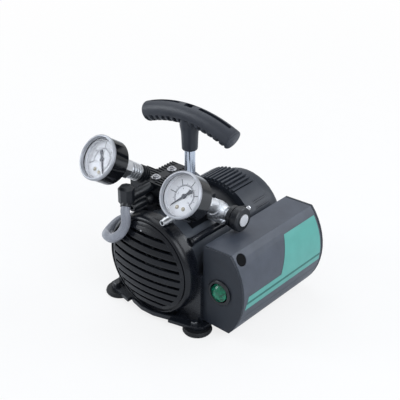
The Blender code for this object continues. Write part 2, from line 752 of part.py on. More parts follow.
def rubber_foot(name, side, y):
    top = EAR_BOTTOM_Z - SEAT_GAP
    floor = top - FOOT_HEIGHT
    profile = [
        (0, floor),
        (FOOT_RADIUS - 2 * FOOT_EDGE, floor),
        (FOOT_RADIUS - FOOT_EDGE, floor + FOOT_EDGE / 2),
        (FOOT_RADIUS, floor + 2 * FOOT_EDGE),
        (FOOT_RADIUS - FOOT_EDGE, top),
        (0, top),
    ]
    return turned(name, profile, 24, rubber(), (side * FOOT_X, y, 0), UPRIGHT)


def barrel():
    """Smooth barrel round the pump, with the boss for the handle post and the spigot for the hose."""
    tube = tube_profile(BARREL_RADIUS, BARREL_INSIDE, BARREL_START, BARREL_END)
    made = turned("pump_housing", tube, 40, charcoal_paint())
    root = BARREL_RADIUS - BARREL_WALL / 2
    shoulder = BOSS_TOP_Z - (BOSS_RADIUS - BOSS_TOP_RADIUS)
    boss_profile = [(0, root - BARREL_WALL), (BOSS_RADIUS, root - BARREL_WALL)]
    boss_profile += [(BOSS_RADIUS, shoulder), (BOSS_TOP_RADIUS, BOSS_TOP_Z), (0, BOSS_TOP_Z)]
    boss = turned("handle_boss", boss_profile, 24, None, (0, POST_Y, 0), UPRIGHT, True)
    cut(boss, turned("boss_trim", rod_profile(root, BARREL_START, BARREL_END), 40, None, cutter=True))
    join(made, boss)
    foot_x = -sqrt(root**2 - SPIGOT_Z**2)
    spigot_profile = rod_profile(SPIGOT_RADIUS, SPIGOT_END_X, foot_x + SPIGOT_RADIUS)
    spigot = turned("hose_spigot", spigot_profile, 16, None, (0, SPIGOT_Y, SPIGOT_Z), ALONG_X, True)
    cut(spigot, turned("spigot_trim", rod_profile(root, BARREL_START, BARREL_END), 40, None, cutter=True))
    join(made, spigot)
    post_hole = rod_profile(POST_RADIUS + SEAT_GAP, POST_BOTTOM_Z - SEAT_GAP, BOSS_TOP_Z + BOSS_RADIUS)
    cut(made, turned("post_hole", post_hole, 20, None, (0, POST_Y, 0), UPRIGHT, True))
    return made


def pump_pieces():
    """The vane pump that turns inside the barrel."""
    fit = BARREL_INSIDE - SEAT_GAP
    plate = [
        (fit, END_PLATE_START),
        (fit, END_PLATE_END),
        (SHAFT_HOLE, END_PLATE_END),
        (SHAFT_HOLE, FRONT_BEARING_START + BEARING_LENGTH + SEAT_GAP),
        (BEARING_SEAT, FRONT_BEARING_START + BEARING_LENGTH + SEAT_GAP),
        (BEARING_SEAT, END_PLATE_START),
    ]
    turned("front_end_plate", plate, 32, steel())
    cylinder = turned("pump_cylinder", rod_profile(fit, CYLINDER_START, CYLINDER_END), 32, steel())
    bore = rod_profile(BORE_RADIUS, CYLINDER_START - CYLINDER_FLOOR, BORE_END)
    cut(cylinder, turned("cylinder_bore", bore, 36, None, (0, 0, -BORE_OFFSET), cutter=True))
    hole = rod_profile(SHAFT_HOLE, CYLINDER_START, CYLINDER_END + CYLINDER_FLOOR)
    cut(cylinder, turned("cylinder_shaft_hole", hole, 20, None, cutter=True))
    rotor_start = CYLINDER_START + RUNNING_GAP
    rotor_end = BORE_END - RUNNING_GAP
    rotor_ring = tube_profile(PUMP_ROTOR_RADIUS, BEARING_BORE, rotor_start, rotor_end)
    rotor = turned("pump_rotor", rotor_ring, 28, steel())
    slot_half = VANE_THICKNESS / 2 + SEAT_GAP
    slots = []
    for side in (-1, 1):
        ends = sorted((side * (VANE_INNER - SEAT_GAP), side * (PUMP_ROTOR_RADIUS + VANE_SETBACK)))
        low = (ends[0], rotor_start - CYLINDER_FLOOR, -slot_half)
        slots.append((low, (ends[1], rotor_end + CYLINDER_FLOOR / 2, slot_half)))
    cut(rotor, blocks("vane_slots", slots, None, True))
    for name, side in (("vane_left", -1), ("vane_right", 1)):
        ends = sorted((side * VANE_INNER, side * VANE_OUTER))
        low = (ends[0], rotor_start, -VANE_THICKNESS / 2)
        high = (ends[1], rotor_end, VANE_THICKNESS / 2)
        blocks(name, [(low, high)], material("vane_carbon", (0.03, 0.03, 0.03), 0.6))
    turned("shaft", rod_profile(SHAFT_RADIUS, SHAFT_FRONT, SHAFT_END), 24, steel())
    for name, start in (("front_bearing", FRONT_BEARING_START), ("rear_bearing", REAR_BEARING_START)):
        ring = tube_profile(BEARING_RADIUS, BEARING_BORE, start, start + BEARING_LENGTH)
        turned(name, ring, 24, steel())


def fan():
    """Cooling fan behind the louvres: a hub on the shaft with flat radial blades."""
    hub_ring = tube_profile(FAN_HUB_RADIUS, BEARING_BORE, FAN_START, FAN_START + FAN_DEPTH)
    hub = turned("fan", hub_ring, 24, black_plastic())
    bm = bmesh.new()
    root = (FAN_HUB_RADIUS + BEARING_BORE) / 2
    for index in range(FAN_BLADES):
        blade = bmesh.new()
        low = (root, FAN_START, -BLADE_THICKNESS / 2)
        add_block(blade, low, (FAN_RADIUS, FAN_START + FAN_DEPTH, BLADE_THICKNESS / 2))
        blade.transform(Matrix.Rotation(2 * pi * index / FAN_BLADES, 4, "Y"))
        mesh = bpy.data.meshes.new("fan_blade")
        blade.to_mesh(mesh)
        blade.free()
        bm.from_mesh(mesh)
        bpy.data.meshes.remove(mesh)
    join(hub, mesh_object("fan_blades", bm, None, True))


def shell_fins(first_deg, crest, floor):
    """Outline of one row of fins between a floor and a crest radius."""
    points = []
    half_deg = FIN_WIDTH / crest * 90 / pi
    for index in range(TOP_FINS):
        middle = first_deg + index * FIN_STEP_DEG
        points += arc(floor, middle - FIN_STEP_DEG / 2, middle - half_deg, 1)
        points += arc(crest, middle - half_deg, middle + half_deg, 1)
        points += arc(floor, middle + half_deg, middle + FIN_STEP_DEG / 2, 1)[:1]
    return points


def shell_outline():
    """The motor shell seen along its axis: fins over the top and bottom, smooth pads at the sides.

    The upper fins and the pads beside them stand higher than the rest.
    """
    first = FIN_FIRST_DEG - FIN_STEP_DEG / 2
    last = first + TOP_FINS * FIN_STEP_DEG
    outline = shell_fins(FIN_FIRST_DEG, SHELL_TOP_RADIUS, SHELL_TOP_RADIUS - FIN_HEIGHT)
    outline += arc(SHELL_TOP_RADIUS, last, 180.0 - PAD_LOW_DEG, 4)
    outline += arc(SHELL_FIN_RADIUS, 180.0 - PAD_LOW_DEG, 180.0 + first, 9)
    outline += shell_fins(180.0 + FIN_FIRST_DEG, SHELL_FIN_RADIUS, SHELL_BASE_RADIUS)
    side = arc(SHELL_FIN_RADIUS, last - 180.0, PAD_LOW_DEG, 12)
    lug_half = BOX_LUG_HEIGHT / 2
    root = sqrt(SHELL_FIN_RADIUS**2 - lug_half**2)
    outline += [point for point in side if point[1] < -lug_half]
    outline += [(root, -lug_half), (BOX_INNER_X - SEAT_GAP, -lug_half)]
    outline += [(BOX_INNER_X - SEAT_GAP, lug_half), (root, lug_half)]
    outline += [point for point in side if point[1] > lug_half]
    outline += arc(SHELL_TOP_RADIUS, PAD_LOW_DEG, first, 4)
    return outline


def pad_slot(index):
    """Cutter of one blind slot in the right pad, open to the rear."""
    half_deg = PAD_SLOT_WIDTH / SHELL_TOP_RADIUS * 90 / pi
    middle = PAD_SLOT_FIRST_DEG + index * PAD_SLOT_STEP_DEG
    outline = arc(SHELL_TOP_RADIUS - PAD_SLOT_DEPTH, middle - half_deg, middle + half_deg, 1)
    outline += arc(SHELL_TOP_RADIUS + PAD_SLOT_DEPTH, middle + half_deg, middle - half_deg, 1)
    start = SHELL_START + PAD_SLOT_SETBACK
    return wall("pad_slot_%d" % index, outline, start, SHELL_END + PAD_SLOT_DEPTH, None, True)


def motor_pieces():
    front = [
        (BELL_RADIUS, BELL_START),
        (BELL_RADIUS, BELL_END),
        (BELL_RADIUS - BELL_WALL, BELL_END),
        (BELL_RADIUS - BELL_WALL, BELL_START + BELL_WALL),
        (BELL_HOLE_RADIUS, BELL_START + BELL_WALL),
        (BELL_HOLE_RADIUS, BELL_START),
    ]
    bell = turned("motor_front_bell", front, 36, black_paint())
    for side in (-1, 1):
        lug = rod_profile(ROD_LUG_RADIUS, BELL_START, BELL_END)
        lug_object = turned("rod_lug", lug, 16, None, (side * ROD_X, 0, ROD_Z), cutter=True)
        bell_bore = rod_profile(BELL_RADIUS - BELL_WALL / 2, BELL_START - BELL_WALL, BELL_END + BELL_WALL)
        cut(lug_object, turned("lug_trim", bell_bore, 36, None, cutter=True))
        join(bell, lug_object)
    for name, side in (("tie_rod_left", -1), ("tie_rod_right", 1)):
        rod = rod_profile(ROD_RADIUS, PLATE_END + SEAT_GAP, BELL_START - SEAT_GAP)
        turned(name, rod, 14, gloss_black(), (side * ROD_X, 0, ROD_Z))
    shell = wall("motor_shell", shell_outline(), SHELL_START, SHELL_END, charcoal_paint())
    shell_bore = rod_profile(SHELL_BORE_RADIUS, SHELL_START - REAR_WALL, SHELL_END + REAR_WALL)
    cut(shell, turned("shell_bore", shell_bore, 36, None, cutter=True))
    for index in range(PAD_SLOTS):
        cut(shell, pad_slot(index))
    boss = BEARING_SEAT + REAR_WALL
    boss_start = REAR_BEARING_START - SEAT_GAP
    face_radius = REAR_RADIUS - REAR_ROUND_WIDTH
    corner_y = REAR_END - REAR_ROUND_DEPTH
    rounding = []
    for angle in (radians(step) for step in (0, 25, 50, 72, 90)):
        reach = face_radius + REAR_ROUND_WIDTH * cos(angle)
        rounding.append((reach, corner_y + REAR_ROUND_DEPTH * sin(angle)))
    rear = [(REAR_RADIUS, REAR_START)] + rounding
    rear += [
        (0, REAR_END),
        (0, REAR_BEARING_END + SEAT_GAP),
        (BEARING_SEAT, REAR_BEARING_END + SEAT_GAP),
        (BEARING_SEAT, boss_start),
        (boss, boss_start),
        (boss, REAR_END - REAR_WALL),
        (face_radius, REAR_END - REAR_WALL),
        (REAR_RADIUS - REAR_WALL, corner_y),
        (REAR_RADIUS - REAR_WALL, REAR_START),
    ]
    bm = turned_bmesh(rear + rear[:1], 36, False)
    rear_bell = mesh_object("rear_bell", bm, charcoal_paint())
    rear_bell.rotation_euler = ALONG_Y
    stator = tube_profile(SHELL_BORE_RADIUS - SEAT_GAP, STATOR_BORE, STATOR_START, STATOR_END)
    turned("stator_core", stator, 32, steel())
    low = STATOR_START - SEAT_GAP
    high = STATOR_END + SEAT_GAP
    throat = STATOR_BORE - SEAT_GAP
    spool = [
        (WINDING_OUTER, low - WINDING_END),
        (WINDING_OUTER, low),
        (throat, low),
        (throat, high),
        (WINDING_OUTER, high),
        (WINDING_OUTER, high + WINDING_END),
        (WINDING_BORE, high + WINDING_END),
        (WINDING_BORE, low - WINDING_END),
    ]
    turned("stator_winding", spool, 28, material("copper", (0.72, 0.36, 0.18), 0.35, 1.0))
    rotor_ring = tube_profile(MOTOR_ROTOR_RADIUS, BEARING_BORE, STATOR_START, STATOR_END)
    turned("motor_rotor", rotor_ring, 28, steel())


def box_arc():
    """The arc of the box's bulging face: the X and Z of its centre, its radius, and half its height."""
    middle = (BOX_TOP_Z + BOX_BOTTOM_Z) / 2
    half = (BOX_TOP_Z - BOX_BOTTOM_Z) / 2 + BOX_TAPER
    rise = BOX_BULGE_X - BOX_TOP_X
    radius = (half**2 + rise**2) / (2 * rise)
    return BOX_BULGE_X - radius, middle, radius, half


def box_outline(inset):
    """The switch box seen from the front: flat inner side, tapered top and bottom, bulging outer face."""
    centre_x, middle, radius, half = box_arc()
    reach = half - inset
    inner_reach = reach - BOX_TAPER
    sweep = asin(reach / (radius - inset))
    steps = 12
    points = [(BOX_INNER_X + inset, middle - inner_reach)]
    points += arc(radius - inset, -degrees(sweep), degrees(sweep), steps, (centre_x, middle))
    points.append((BOX_INNER_X + inset, middle + inner_reach))
    return points


def switch_box():
    start = BOX_FRONT + BOX_CAP + SEAT_GAP
    end = BOX_END - BOX_CAP - SEAT_GAP
    shell = wall("switch_box", box_outline(0.0), start, end, charcoal_paint())
    cut(shell, wall("box_hollow", box_outline(BOX_WALL), start - BOX_CAP, end + BOX_CAP, None, True))
    centre_x, middle, radius, _ = box_arc()
    lean = asin((BOX_HOLE_Z - middle) / radius)
    hole_place = (centre_x + radius * cos(lean), BOX_FRONT + BOX_HOLE_FROM_FRONT, BOX_HOLE_Z)
    hole_turn = Euler((0, pi / 2 - lean, 0))
    hole = rod_profile(BOX_HOLE_RADIUS, -3 * BOX_WALL, 2 * BOX_WALL)
    cut(shell, turned("box_hole", hole, 24, None, hole_place, hole_turn, True))
    plug = rod_profile(BOX_HOLE_RADIUS - SEAT_GAP, -PLUG_RECESS - PLUG_THICKNESS, -PLUG_RECESS)
    turned("box_plug", plug, 24, rubber(), hole_place, hole_turn)
    front = wall("box_front_cap", box_outline(0.0), BOX_FRONT, BOX_FRONT + BOX_CAP, black_paint())
    switch_hole = rod_profile(SWITCH_BARREL_RADIUS + SEAT_GAP, BOX_FRONT - BOX_CAP, BOX_FRONT + 2 * BOX_CAP)
    cut(front, turned("switch_hole", switch_hole, 28, None, (SWITCH_X, 0, SWITCH_Z), cutter=True))
    rear = wall("box_rear_cap", box_outline(0.0), BOX_END - BOX_CAP, BOX_END, black_paint())
    half_width = INLET_WIDTH / 2
    half_height = INLET_HEIGHT / 2
    inlet_low = (INLET_X - half_width - SEAT_GAP, BOX_END - 2 * BOX_CAP, INLET_Z - half_height - SEAT_GAP)
    inlet_high = (INLET_X + half_width + SEAT_GAP, BOX_END + BOX_CAP, INLET_Z + half_height + SEAT_GAP)
    cut(rear, blocks("inlet_hole", [(inlet_low, inlet_high)], None, True))
    flange_width = half_width + INLET_FLANGE
    flange_height = half_height + INLET_FLANGE
    flange_front = BOX_END + SEAT_GAP
    flange_back = flange_front + INLET_WALL
    flange_low = (INLET_X - flange_width, flange_front, INLET_Z - flange_height)
    flange_high = (INLET_X + flange_width, flange_back, INLET_Z + flange_height)
    inlet = blocks("power_inlet", [(flange_low, flange_high)], black_plastic())
    body_low = (INLET_X - half_width, BOX_END - INLET_DEPTH, INLET_Z - half_height)
    body_high = (INLET_X + half_width, BOX_END + SEAT_GAP + INLET_WALL / 2, INLET_Z + half_height)
    join(inlet, blocks("inlet_body", [(body_low, body_high)], None, True))
    socket_low = (body_low[0] + INLET_WALL, body_low[1] + INLET_WALL, body_low[2] + INLET_WALL)
    socket_high = (body_high[0] - INLET_WALL, flange_back + INLET_WALL, body_high[2] - INLET_WALL)
    cut(inlet, blocks("inlet_socket", [(socket_low, socket_high)], None, True))
    floor_z = BOX_BOTTOM_Z + BOX_WALL + SEAT_GAP + CAPACITOR_RADIUS
    middle_y = BOX_FRONT + BOX_LENGTH / 2
    can = rod_profile(CAPACITOR_RADIUS, middle_y - CAPACITOR_LENGTH / 2, middle_y + CAPACITOR_LENGTH / 2)
    aluminium = material("can_aluminium", (0.7, 0.7, 0.72), 0.35, 1.0)
    turned("capacitor", can, 24, aluminium, (CAPACITOR_X, 0, floor_z))


def switch():
    """Round rocker switch in the front cap: a cup with a flange, and the tilting lens in it."""
    front = BOX_FRONT - SEAT_GAP - SWITCH_FLANGE
    inside = SWITCH_BARREL_RADIUS - SWITCH_WALL
    back = BOX_FRONT + SWITCH_BARREL_LENGTH
    profile = [
        (0, back - SWITCH_WALL),
        (inside, back - SWITCH_WALL),
        (inside, front),
        (SWITCH_FLANGE_RADIUS - SWITCH_FLANGE / 2, front),
        (SWITCH_FLANGE_RADIUS, front + SWITCH_FLANGE / 2),
        (SWITCH_FLANGE_RADIUS, BOX_FRONT - SEAT_GAP),
        (SWITCH_BARREL_RADIUS, BOX_FRONT - SEAT_GAP),
        (SWITCH_BARREL_RADIUS, back),
        (0, back),
    ]
    turned("switch_body", profile, 28, black_plastic(), (SWITCH_X, 0, SWITCH_Z))
    pivot = bpy.data.objects.new("rocker_pivot", None)
    bpy.context.scene.collection.objects.link(pivot)
    pivot.parent = PUMP_AXIS
    pivot.location = (SWITCH_X, rocker_axis_y(), SWITCH_Z)
    pivot.rotation_euler = (radians(-ROCKER_TILT_DEG), 0, 0)
    face = -ROCKER_THICKNESS
    lens = [
        (0, face - ROCKER_CROWN),
        (ROCKER_RADIUS * 0.5, face - ROCKER_CROWN * 0.8),
        (ROCKER_RADIUS * 0.85, face - ROCKER_CROWN * 0.2),
        (ROCKER_RADIUS, face + ROCKER_CROWN),
        (ROCKER_RADIUS, 0),
        (0, 0),
    ]
    rocker = turned("rocker", lens, 28, material("green_lens", (0.02, 0.42, 0.24), 0.15, alpha=0.9))
    rocker.parent = pivot


def rocker_axis_y():
    return BOX_FRONT - SWITCH_FLANGE - ROCKER_PROUD + ROCKER_THICKNESS


def facing_vector(tilt_deg, yaw_deg):
    """The unit vector along which a gauge faces: forwards, tilted up and turned to one side."""
    tilt = radians(tilt_deg)
    yaw = radians(yaw_deg)
    return Vector((sin(yaw) * cos(tilt), -cos(yaw) * cos(tilt), sin(tilt)))


def facing_turn(facing):
    """The rotation that takes +Z to a gauge's axis and keeps X level."""
    level = Vector((0, 0, 1)).cross(facing).normalized()
    upward = facing.cross(level)
    return Matrix((level, upward, facing)).transposed().to_euler()


LEFT_FACING = facing_vector(LEFT_TILT_DEG, LEFT_YAW_DEG)
RIGHT_FACING = facing_vector(RIGHT_TILT_DEG, RIGHT_YAW_DEG)
LEFT_FOOT = Vector((LEFT_FOOT_X, LEFT_FOOT_Y, LEFT_FOOT_Z))
RIGHT_FOOT = Vector((RIGHT_FOOT_X, RIGHT_FOOT_Y, RIGHT_FOOT_Z))


def pointer_outline(angle_deg):
    """A tapered needle with a round counterweight, from its hub towards an angle on the dial."""
    hub = POINTER_HUB_RADIUS
    half = POINTER_HALF_WIDTH
    tip = POINTER_TIP_HALF_WIDTH
    neck = hub + POINTER_HALF_WIDTH
    tail = arc(POINTER_WEIGHT_RADIUS, 110, 250, 6, (-POINTER_TAIL, 0.0))
    points = [(POINTER_LENGTH, -tip), (POINTER_LENGTH, tip), (hub, half)]
    points += arc(hub, 30, 150, 6) + [(-neck, half)] + tail + [(-neck, -half)]
    points += arc(hub, 210, 330, 6) + [(hub, -half)]
    angle = radians(angle_deg)
    return [(x * cos(angle) - y * sin(angle), x * sin(angle) + y * cos(angle)) for x, y in points]


def gauge(side, foot, axis, stem_length, pointer_deg):
    """One dial gauge: stem with its hex nut, case, bezel, dial, lens and pointer."""
    facing = facing_turn(axis)
    collar = stem_length - GAUGE_COLLAR_LENGTH
    nut_end = collar - GAUGE_NUT_BACK
    stem_profile = [
        (0, 0),
        (GAUGE_STEM_RADIUS, 0),
        (GAUGE_STEM_RADIUS, collar),
        (GAUGE_NUT_RADIUS, collar),
        (GAUGE_NUT_RADIUS, stem_length),
        (0, stem_length),
    ]
    stem = turned(side + "_gauge_stem", stem_profile, 20, chrome(), foot, facing)
    nut = tube_profile(GAUGE_NUT_RADIUS, GAUGE_STEM_RADIUS / 2, nut_end - GAUGE_NUT_LENGTH, nut_end)
    join(stem, turned(side + "_stem_nut", nut, 6, None, foot, facing, True))
    back = stem_length + SEAT_GAP
    front = back + GAUGE_CASE_DEPTH
    inside = GAUGE_CASE_RADIUS - GAUGE_CASE_WALL
    edge = GAUGE_CASE_WALL
    case = [
        (0, back),
        (GAUGE_CASE_RADIUS - 2 * edge, back),
        (GAUGE_CASE_RADIUS, back + 2 * edge),
        (GAUGE_CASE_RADIUS, front),
        (inside, front),
        (inside, back + 2 * edge),
        (inside - edge, back + edge),
        (0, back + edge),
    ]
    turned(side + "_gauge_case", case, 36, gloss_black(), foot, facing)
    bezel_start = front + SEAT_GAP
    bezel_end = bezel_start + GAUGE_BEZEL_DEPTH
    bezel_radius = GAUGE_CASE_RADIUS + GAUGE_BEZEL_STEP
    opening = bezel_radius - GAUGE_BEZEL_WIDTH
    bevel = GAUGE_BEZEL_BEVEL
    bezel = [
        (bezel_radius, bezel_start),
        (bezel_radius, bezel_end - bevel),
        (bezel_radius - bevel, bezel_end),
        (opening + bevel, bezel_end),
        (opening, bezel_end - bevel * 2),
        (opening, bezel_start),
    ]
    turned(side + "_gauge_bezel", bezel, 36, chrome(), foot, facing)
    disc = inside - SEAT_GAP
    dial_face = front - DIAL_DEPTH
    dial = rod_profile(disc, dial_face - DIAL_THICKNESS, dial_face)
    turned(side + "_gauge_dial", dial, 32, material("dial_white", (0.82, 0.83, 0.86), 0.6), foot, facing)
    glass = material("gauge_glass", (0.95, 0.97, 0.98), 0.05, alpha=0.25)
    lens = rod_profile(disc, front - LENS_THICKNESS, front)
    turned(side + "_gauge_lens", lens, 32, glass, foot, facing)
    low = dial_face + SEAT_GAP
    high = low + POINTER_THICKNESS
    needle = prism(side + "_gauge_pointer", pointer_outline(pointer_deg), low, high, gloss_black())
    needle.location = foot
    needle.rotation_euler = facing


def head_pieces():
    """The finned head on its base, its two screws, and the boss that takes the left gauge."""
    base_low = (HEAD_LEFT_X, HEAD_FRONT_Y, HEAD_BOTTOM_Z)
    base_high = (HEAD_RIGHT_X, HEAD_BACK_Y, HEAD_SPLIT_Z)
    base = blocks("head_base", [(base_low, base_high)], black_paint())
    seat_profile = rod_profile(BARREL_RADIUS + SEAT_GAP, BARREL_START, BARREL_END)
    seat = turned("head_seat", seat_profile, 40, None, cutter=True)
    cut(base, seat)
    rod_hole = rod_profile(ROD_RADIUS + SEAT_GAP, BARREL_START, BARREL_END + BELL_LENGTH)
    cut(base, turned("rod_channel", rod_hole, 14, None, (-ROD_X, 0, ROD_Z), cutter=True))
    outline = [
        (HEAD_LEFT_X, HEAD_FRONT_Y),
        (HEAD_RIGHT_X, HEAD_FRONT_Y),
        (HEAD_RIGHT_X, HEAD_BACK_Y),
        (HEAD_LEFT_X + HEAD_STEP, HEAD_BACK_Y),
        (HEAD_LEFT_X + HEAD_STEP, HEAD_STEP_Y),
        (HEAD_LEFT_X, HEAD_STEP_Y),
    ]
    head = prism("cylinder_head", outline, HEAD_SPLIT_Z + SEAT_GAP, HEAD_TOP_Z, black_paint())
    grooves = []
    count = int(HEAD_LENGTH / HEAD_FIN_PITCH)
    margin = HEAD_FIN_PITCH
    for index in range(count):
        front = HEAD_FRONT_Y + (index + 1) * HEAD_FIN_PITCH - HEAD_FIN_GAP
        back = front + HEAD_FIN_GAP
        left = (HEAD_LEFT_X - margin, front, HEAD_FLOOR_Z)
        grooves.append((left, (STRIP_X - STRIP_WIDTH / 2, back, HEAD_TOP_Z + margin)))
        right = (STRIP_X + STRIP_WIDTH / 2, front, HEAD_FLOOR_Z)
        grooves.append((right, (HEAD_RIGHT_X + margin, back, HEAD_TOP_Z + margin)))
    cut(head, blocks("head_grooves", grooves, None, True))
    front_grooves = []
    for index in range(FRONT_GROOVES):
        low = HEAD_SPLIT_Z + FRONT_GROOVE_START + index * HEAD_FIN_PITCH
        near = (STRIP_X + STRIP_WIDTH, HEAD_FRONT_Y - margin, low)
        far = (HEAD_RIGHT_X + margin, HEAD_FRONT_Y + FRONT_GROOVE_DEPTH, low + HEAD_FIN_GAP)
        front_grooves.append((near, far))
    cut(head, blocks("head_front_grooves", front_grooves, None, True))
    cut(head, seat)
    turn = facing_turn(LEFT_FACING)
    boss_profile = rod_profile(LEFT_BOSS_RADIUS, -LEFT_BOSS_LENGTH, -SEAT_GAP)
    join(head, turned("gauge_boss", boss_profile, 20, None, LEFT_FOOT, turn, True))
    for name, setback in (("head_screw_front", SCREW_FRONT_BACK), ("head_screw_rear", SCREW_REAR_BACK)):
        washer = HEAD_TOP_Z + SEAT_GAP + WASHER_THICKNESS
        top = washer + SCREW_HEAD_HEIGHT
        profile = [
            (0, HEAD_TOP_Z + SEAT_GAP),
            (WASHER_RADIUS, HEAD_TOP_Z + SEAT_GAP),
            (WASHER_RADIUS, washer),
            (SCREW_HEAD_RADIUS, washer),
            (SCREW_HEAD_RADIUS, top),
            (SCREW_SOCKET_RADIUS, top),
            (SCREW_SOCKET_RADIUS, washer),
            (0, washer),
        ]
        turned(name, profile, 18, steel(), (STRIP_X, HEAD_FRONT_Y + setback, 0), UPRIGHT)


def fittings():
    """The elbow, the inlet nozzle, the outlet barb and its manifold."""
    bottom = ELBOW_ARM_Z - ELBOW_BELOW
    top = ELBOW_ARM_Z + ELBOW_ABOVE
    leg = [
        (0, bottom),
        (ELBOW_RADIUS, bottom),
        (ELBOW_RADIUS, top - ELBOW_EDGE),
        (ELBOW_RADIUS - ELBOW_EDGE, top),
        (0, top),
    ]
    elbow = turned("elbow_fitting", leg, 8, black_plastic(), (ELBOW_X, ELBOW_Y, 0), UPRIGHT)
    arm = rod_profile(ELBOW_ARM_RADIUS, ELBOW_Y, HEAD_FRONT_Y - SEAT_GAP)
    join(elbow, turned("elbow_arm", arm, 16, None, (ELBOW_X, 0, ELBOW_ARM_Z), cutter=True))
    elbow_middle = Vector((ELBOW_X, ELBOW_Y, ELBOW_ARM_Z))
    outlet_way = Vector(HOSE_ROUTE[0]) - elbow_middle
    outlet_turn = outlet_way.to_track_quat("Z", "Y").to_euler()
    outlet = rod_profile(OUTLET_RADIUS, 0, outlet_way.length - SEAT_GAP)
    join(elbow, turned("elbow_outlet", outlet, 16, None, elbow_middle, outlet_turn, True))
    nozzle = [
        (0, NOZZLE_COLLAR_START),
        (NOZZLE_BORE, NOZZLE_COLLAR_START),
        (NOZZLE_BORE, NOZZLE_TIP_Y),
        (NOZZLE_RADIUS, NOZZLE_TIP_Y),
        (NOZZLE_RADIUS, NOZZLE_COLLAR_START),
        (NOZZLE_COLLAR_RADIUS - NOZZLE_COLLAR_EDGE, NOZZLE_COLLAR_START),
        (NOZZLE_COLLAR_RADIUS, NOZZLE_COLLAR_START + NOZZLE_COLLAR_TAPER),
        (NOZZLE_COLLAR_RADIUS, NOZZLE_COLLAR_START + NOZZLE_COLLAR_LENGTH),
        (0, NOZZLE_COLLAR_START + NOZZLE_COLLAR_LENGTH),
    ]
    turned("inlet_nozzle", nozzle, 20, black_plastic(), (NOZZLE_X, 0, NOZZLE_Z))
    nut = BARB_END_Y - BARB_NUT_LENGTH
    root = BARB_RADIUS - BARB_ROOT
    barb = [(0, nut), (BARB_BORE, nut), (BARB_BORE, BARB_TIP_Y), (BARB_RADIUS - BARB_TIP_STEP, BARB_TIP_Y)]
    for index in range(3):
        ridge = BARB_TIP_Y + BARB_START + index * BARB_PITCH + BARB_RADIUS
        barb += [(BARB_RADIUS, ridge), (root, ridge + SEAT_GAP)]
    barb += [(root, nut), (BARB_NUT_RADIUS, nut), (BARB_NUT_RADIUS, BARB_END_Y), (0, BARB_END_Y)]
    turned("outlet_barb", barb, 16, chrome(), (BARB_X, 0, BARB_Z))
    seat = rod_profile(BARREL_RADIUS + SEAT_GAP, BARREL_START, BARREL_END)
    front = BARB_END_Y + SEAT_GAP
    low = (MANIFOLD_LEFT_X, front, BARREL_RADIUS - MANIFOLD_RIGHT_X / 2)
    high = (MANIFOLD_RIGHT_X, front + MANIFOLD_LENGTH, BARB_Z + MANIFOLD_OVER_BARB)
    manifold = blocks("manifold_block", [(low, high)], black_paint())
    cut(manifold, turned("manifold_seat", seat, 40, None, cutter=True))


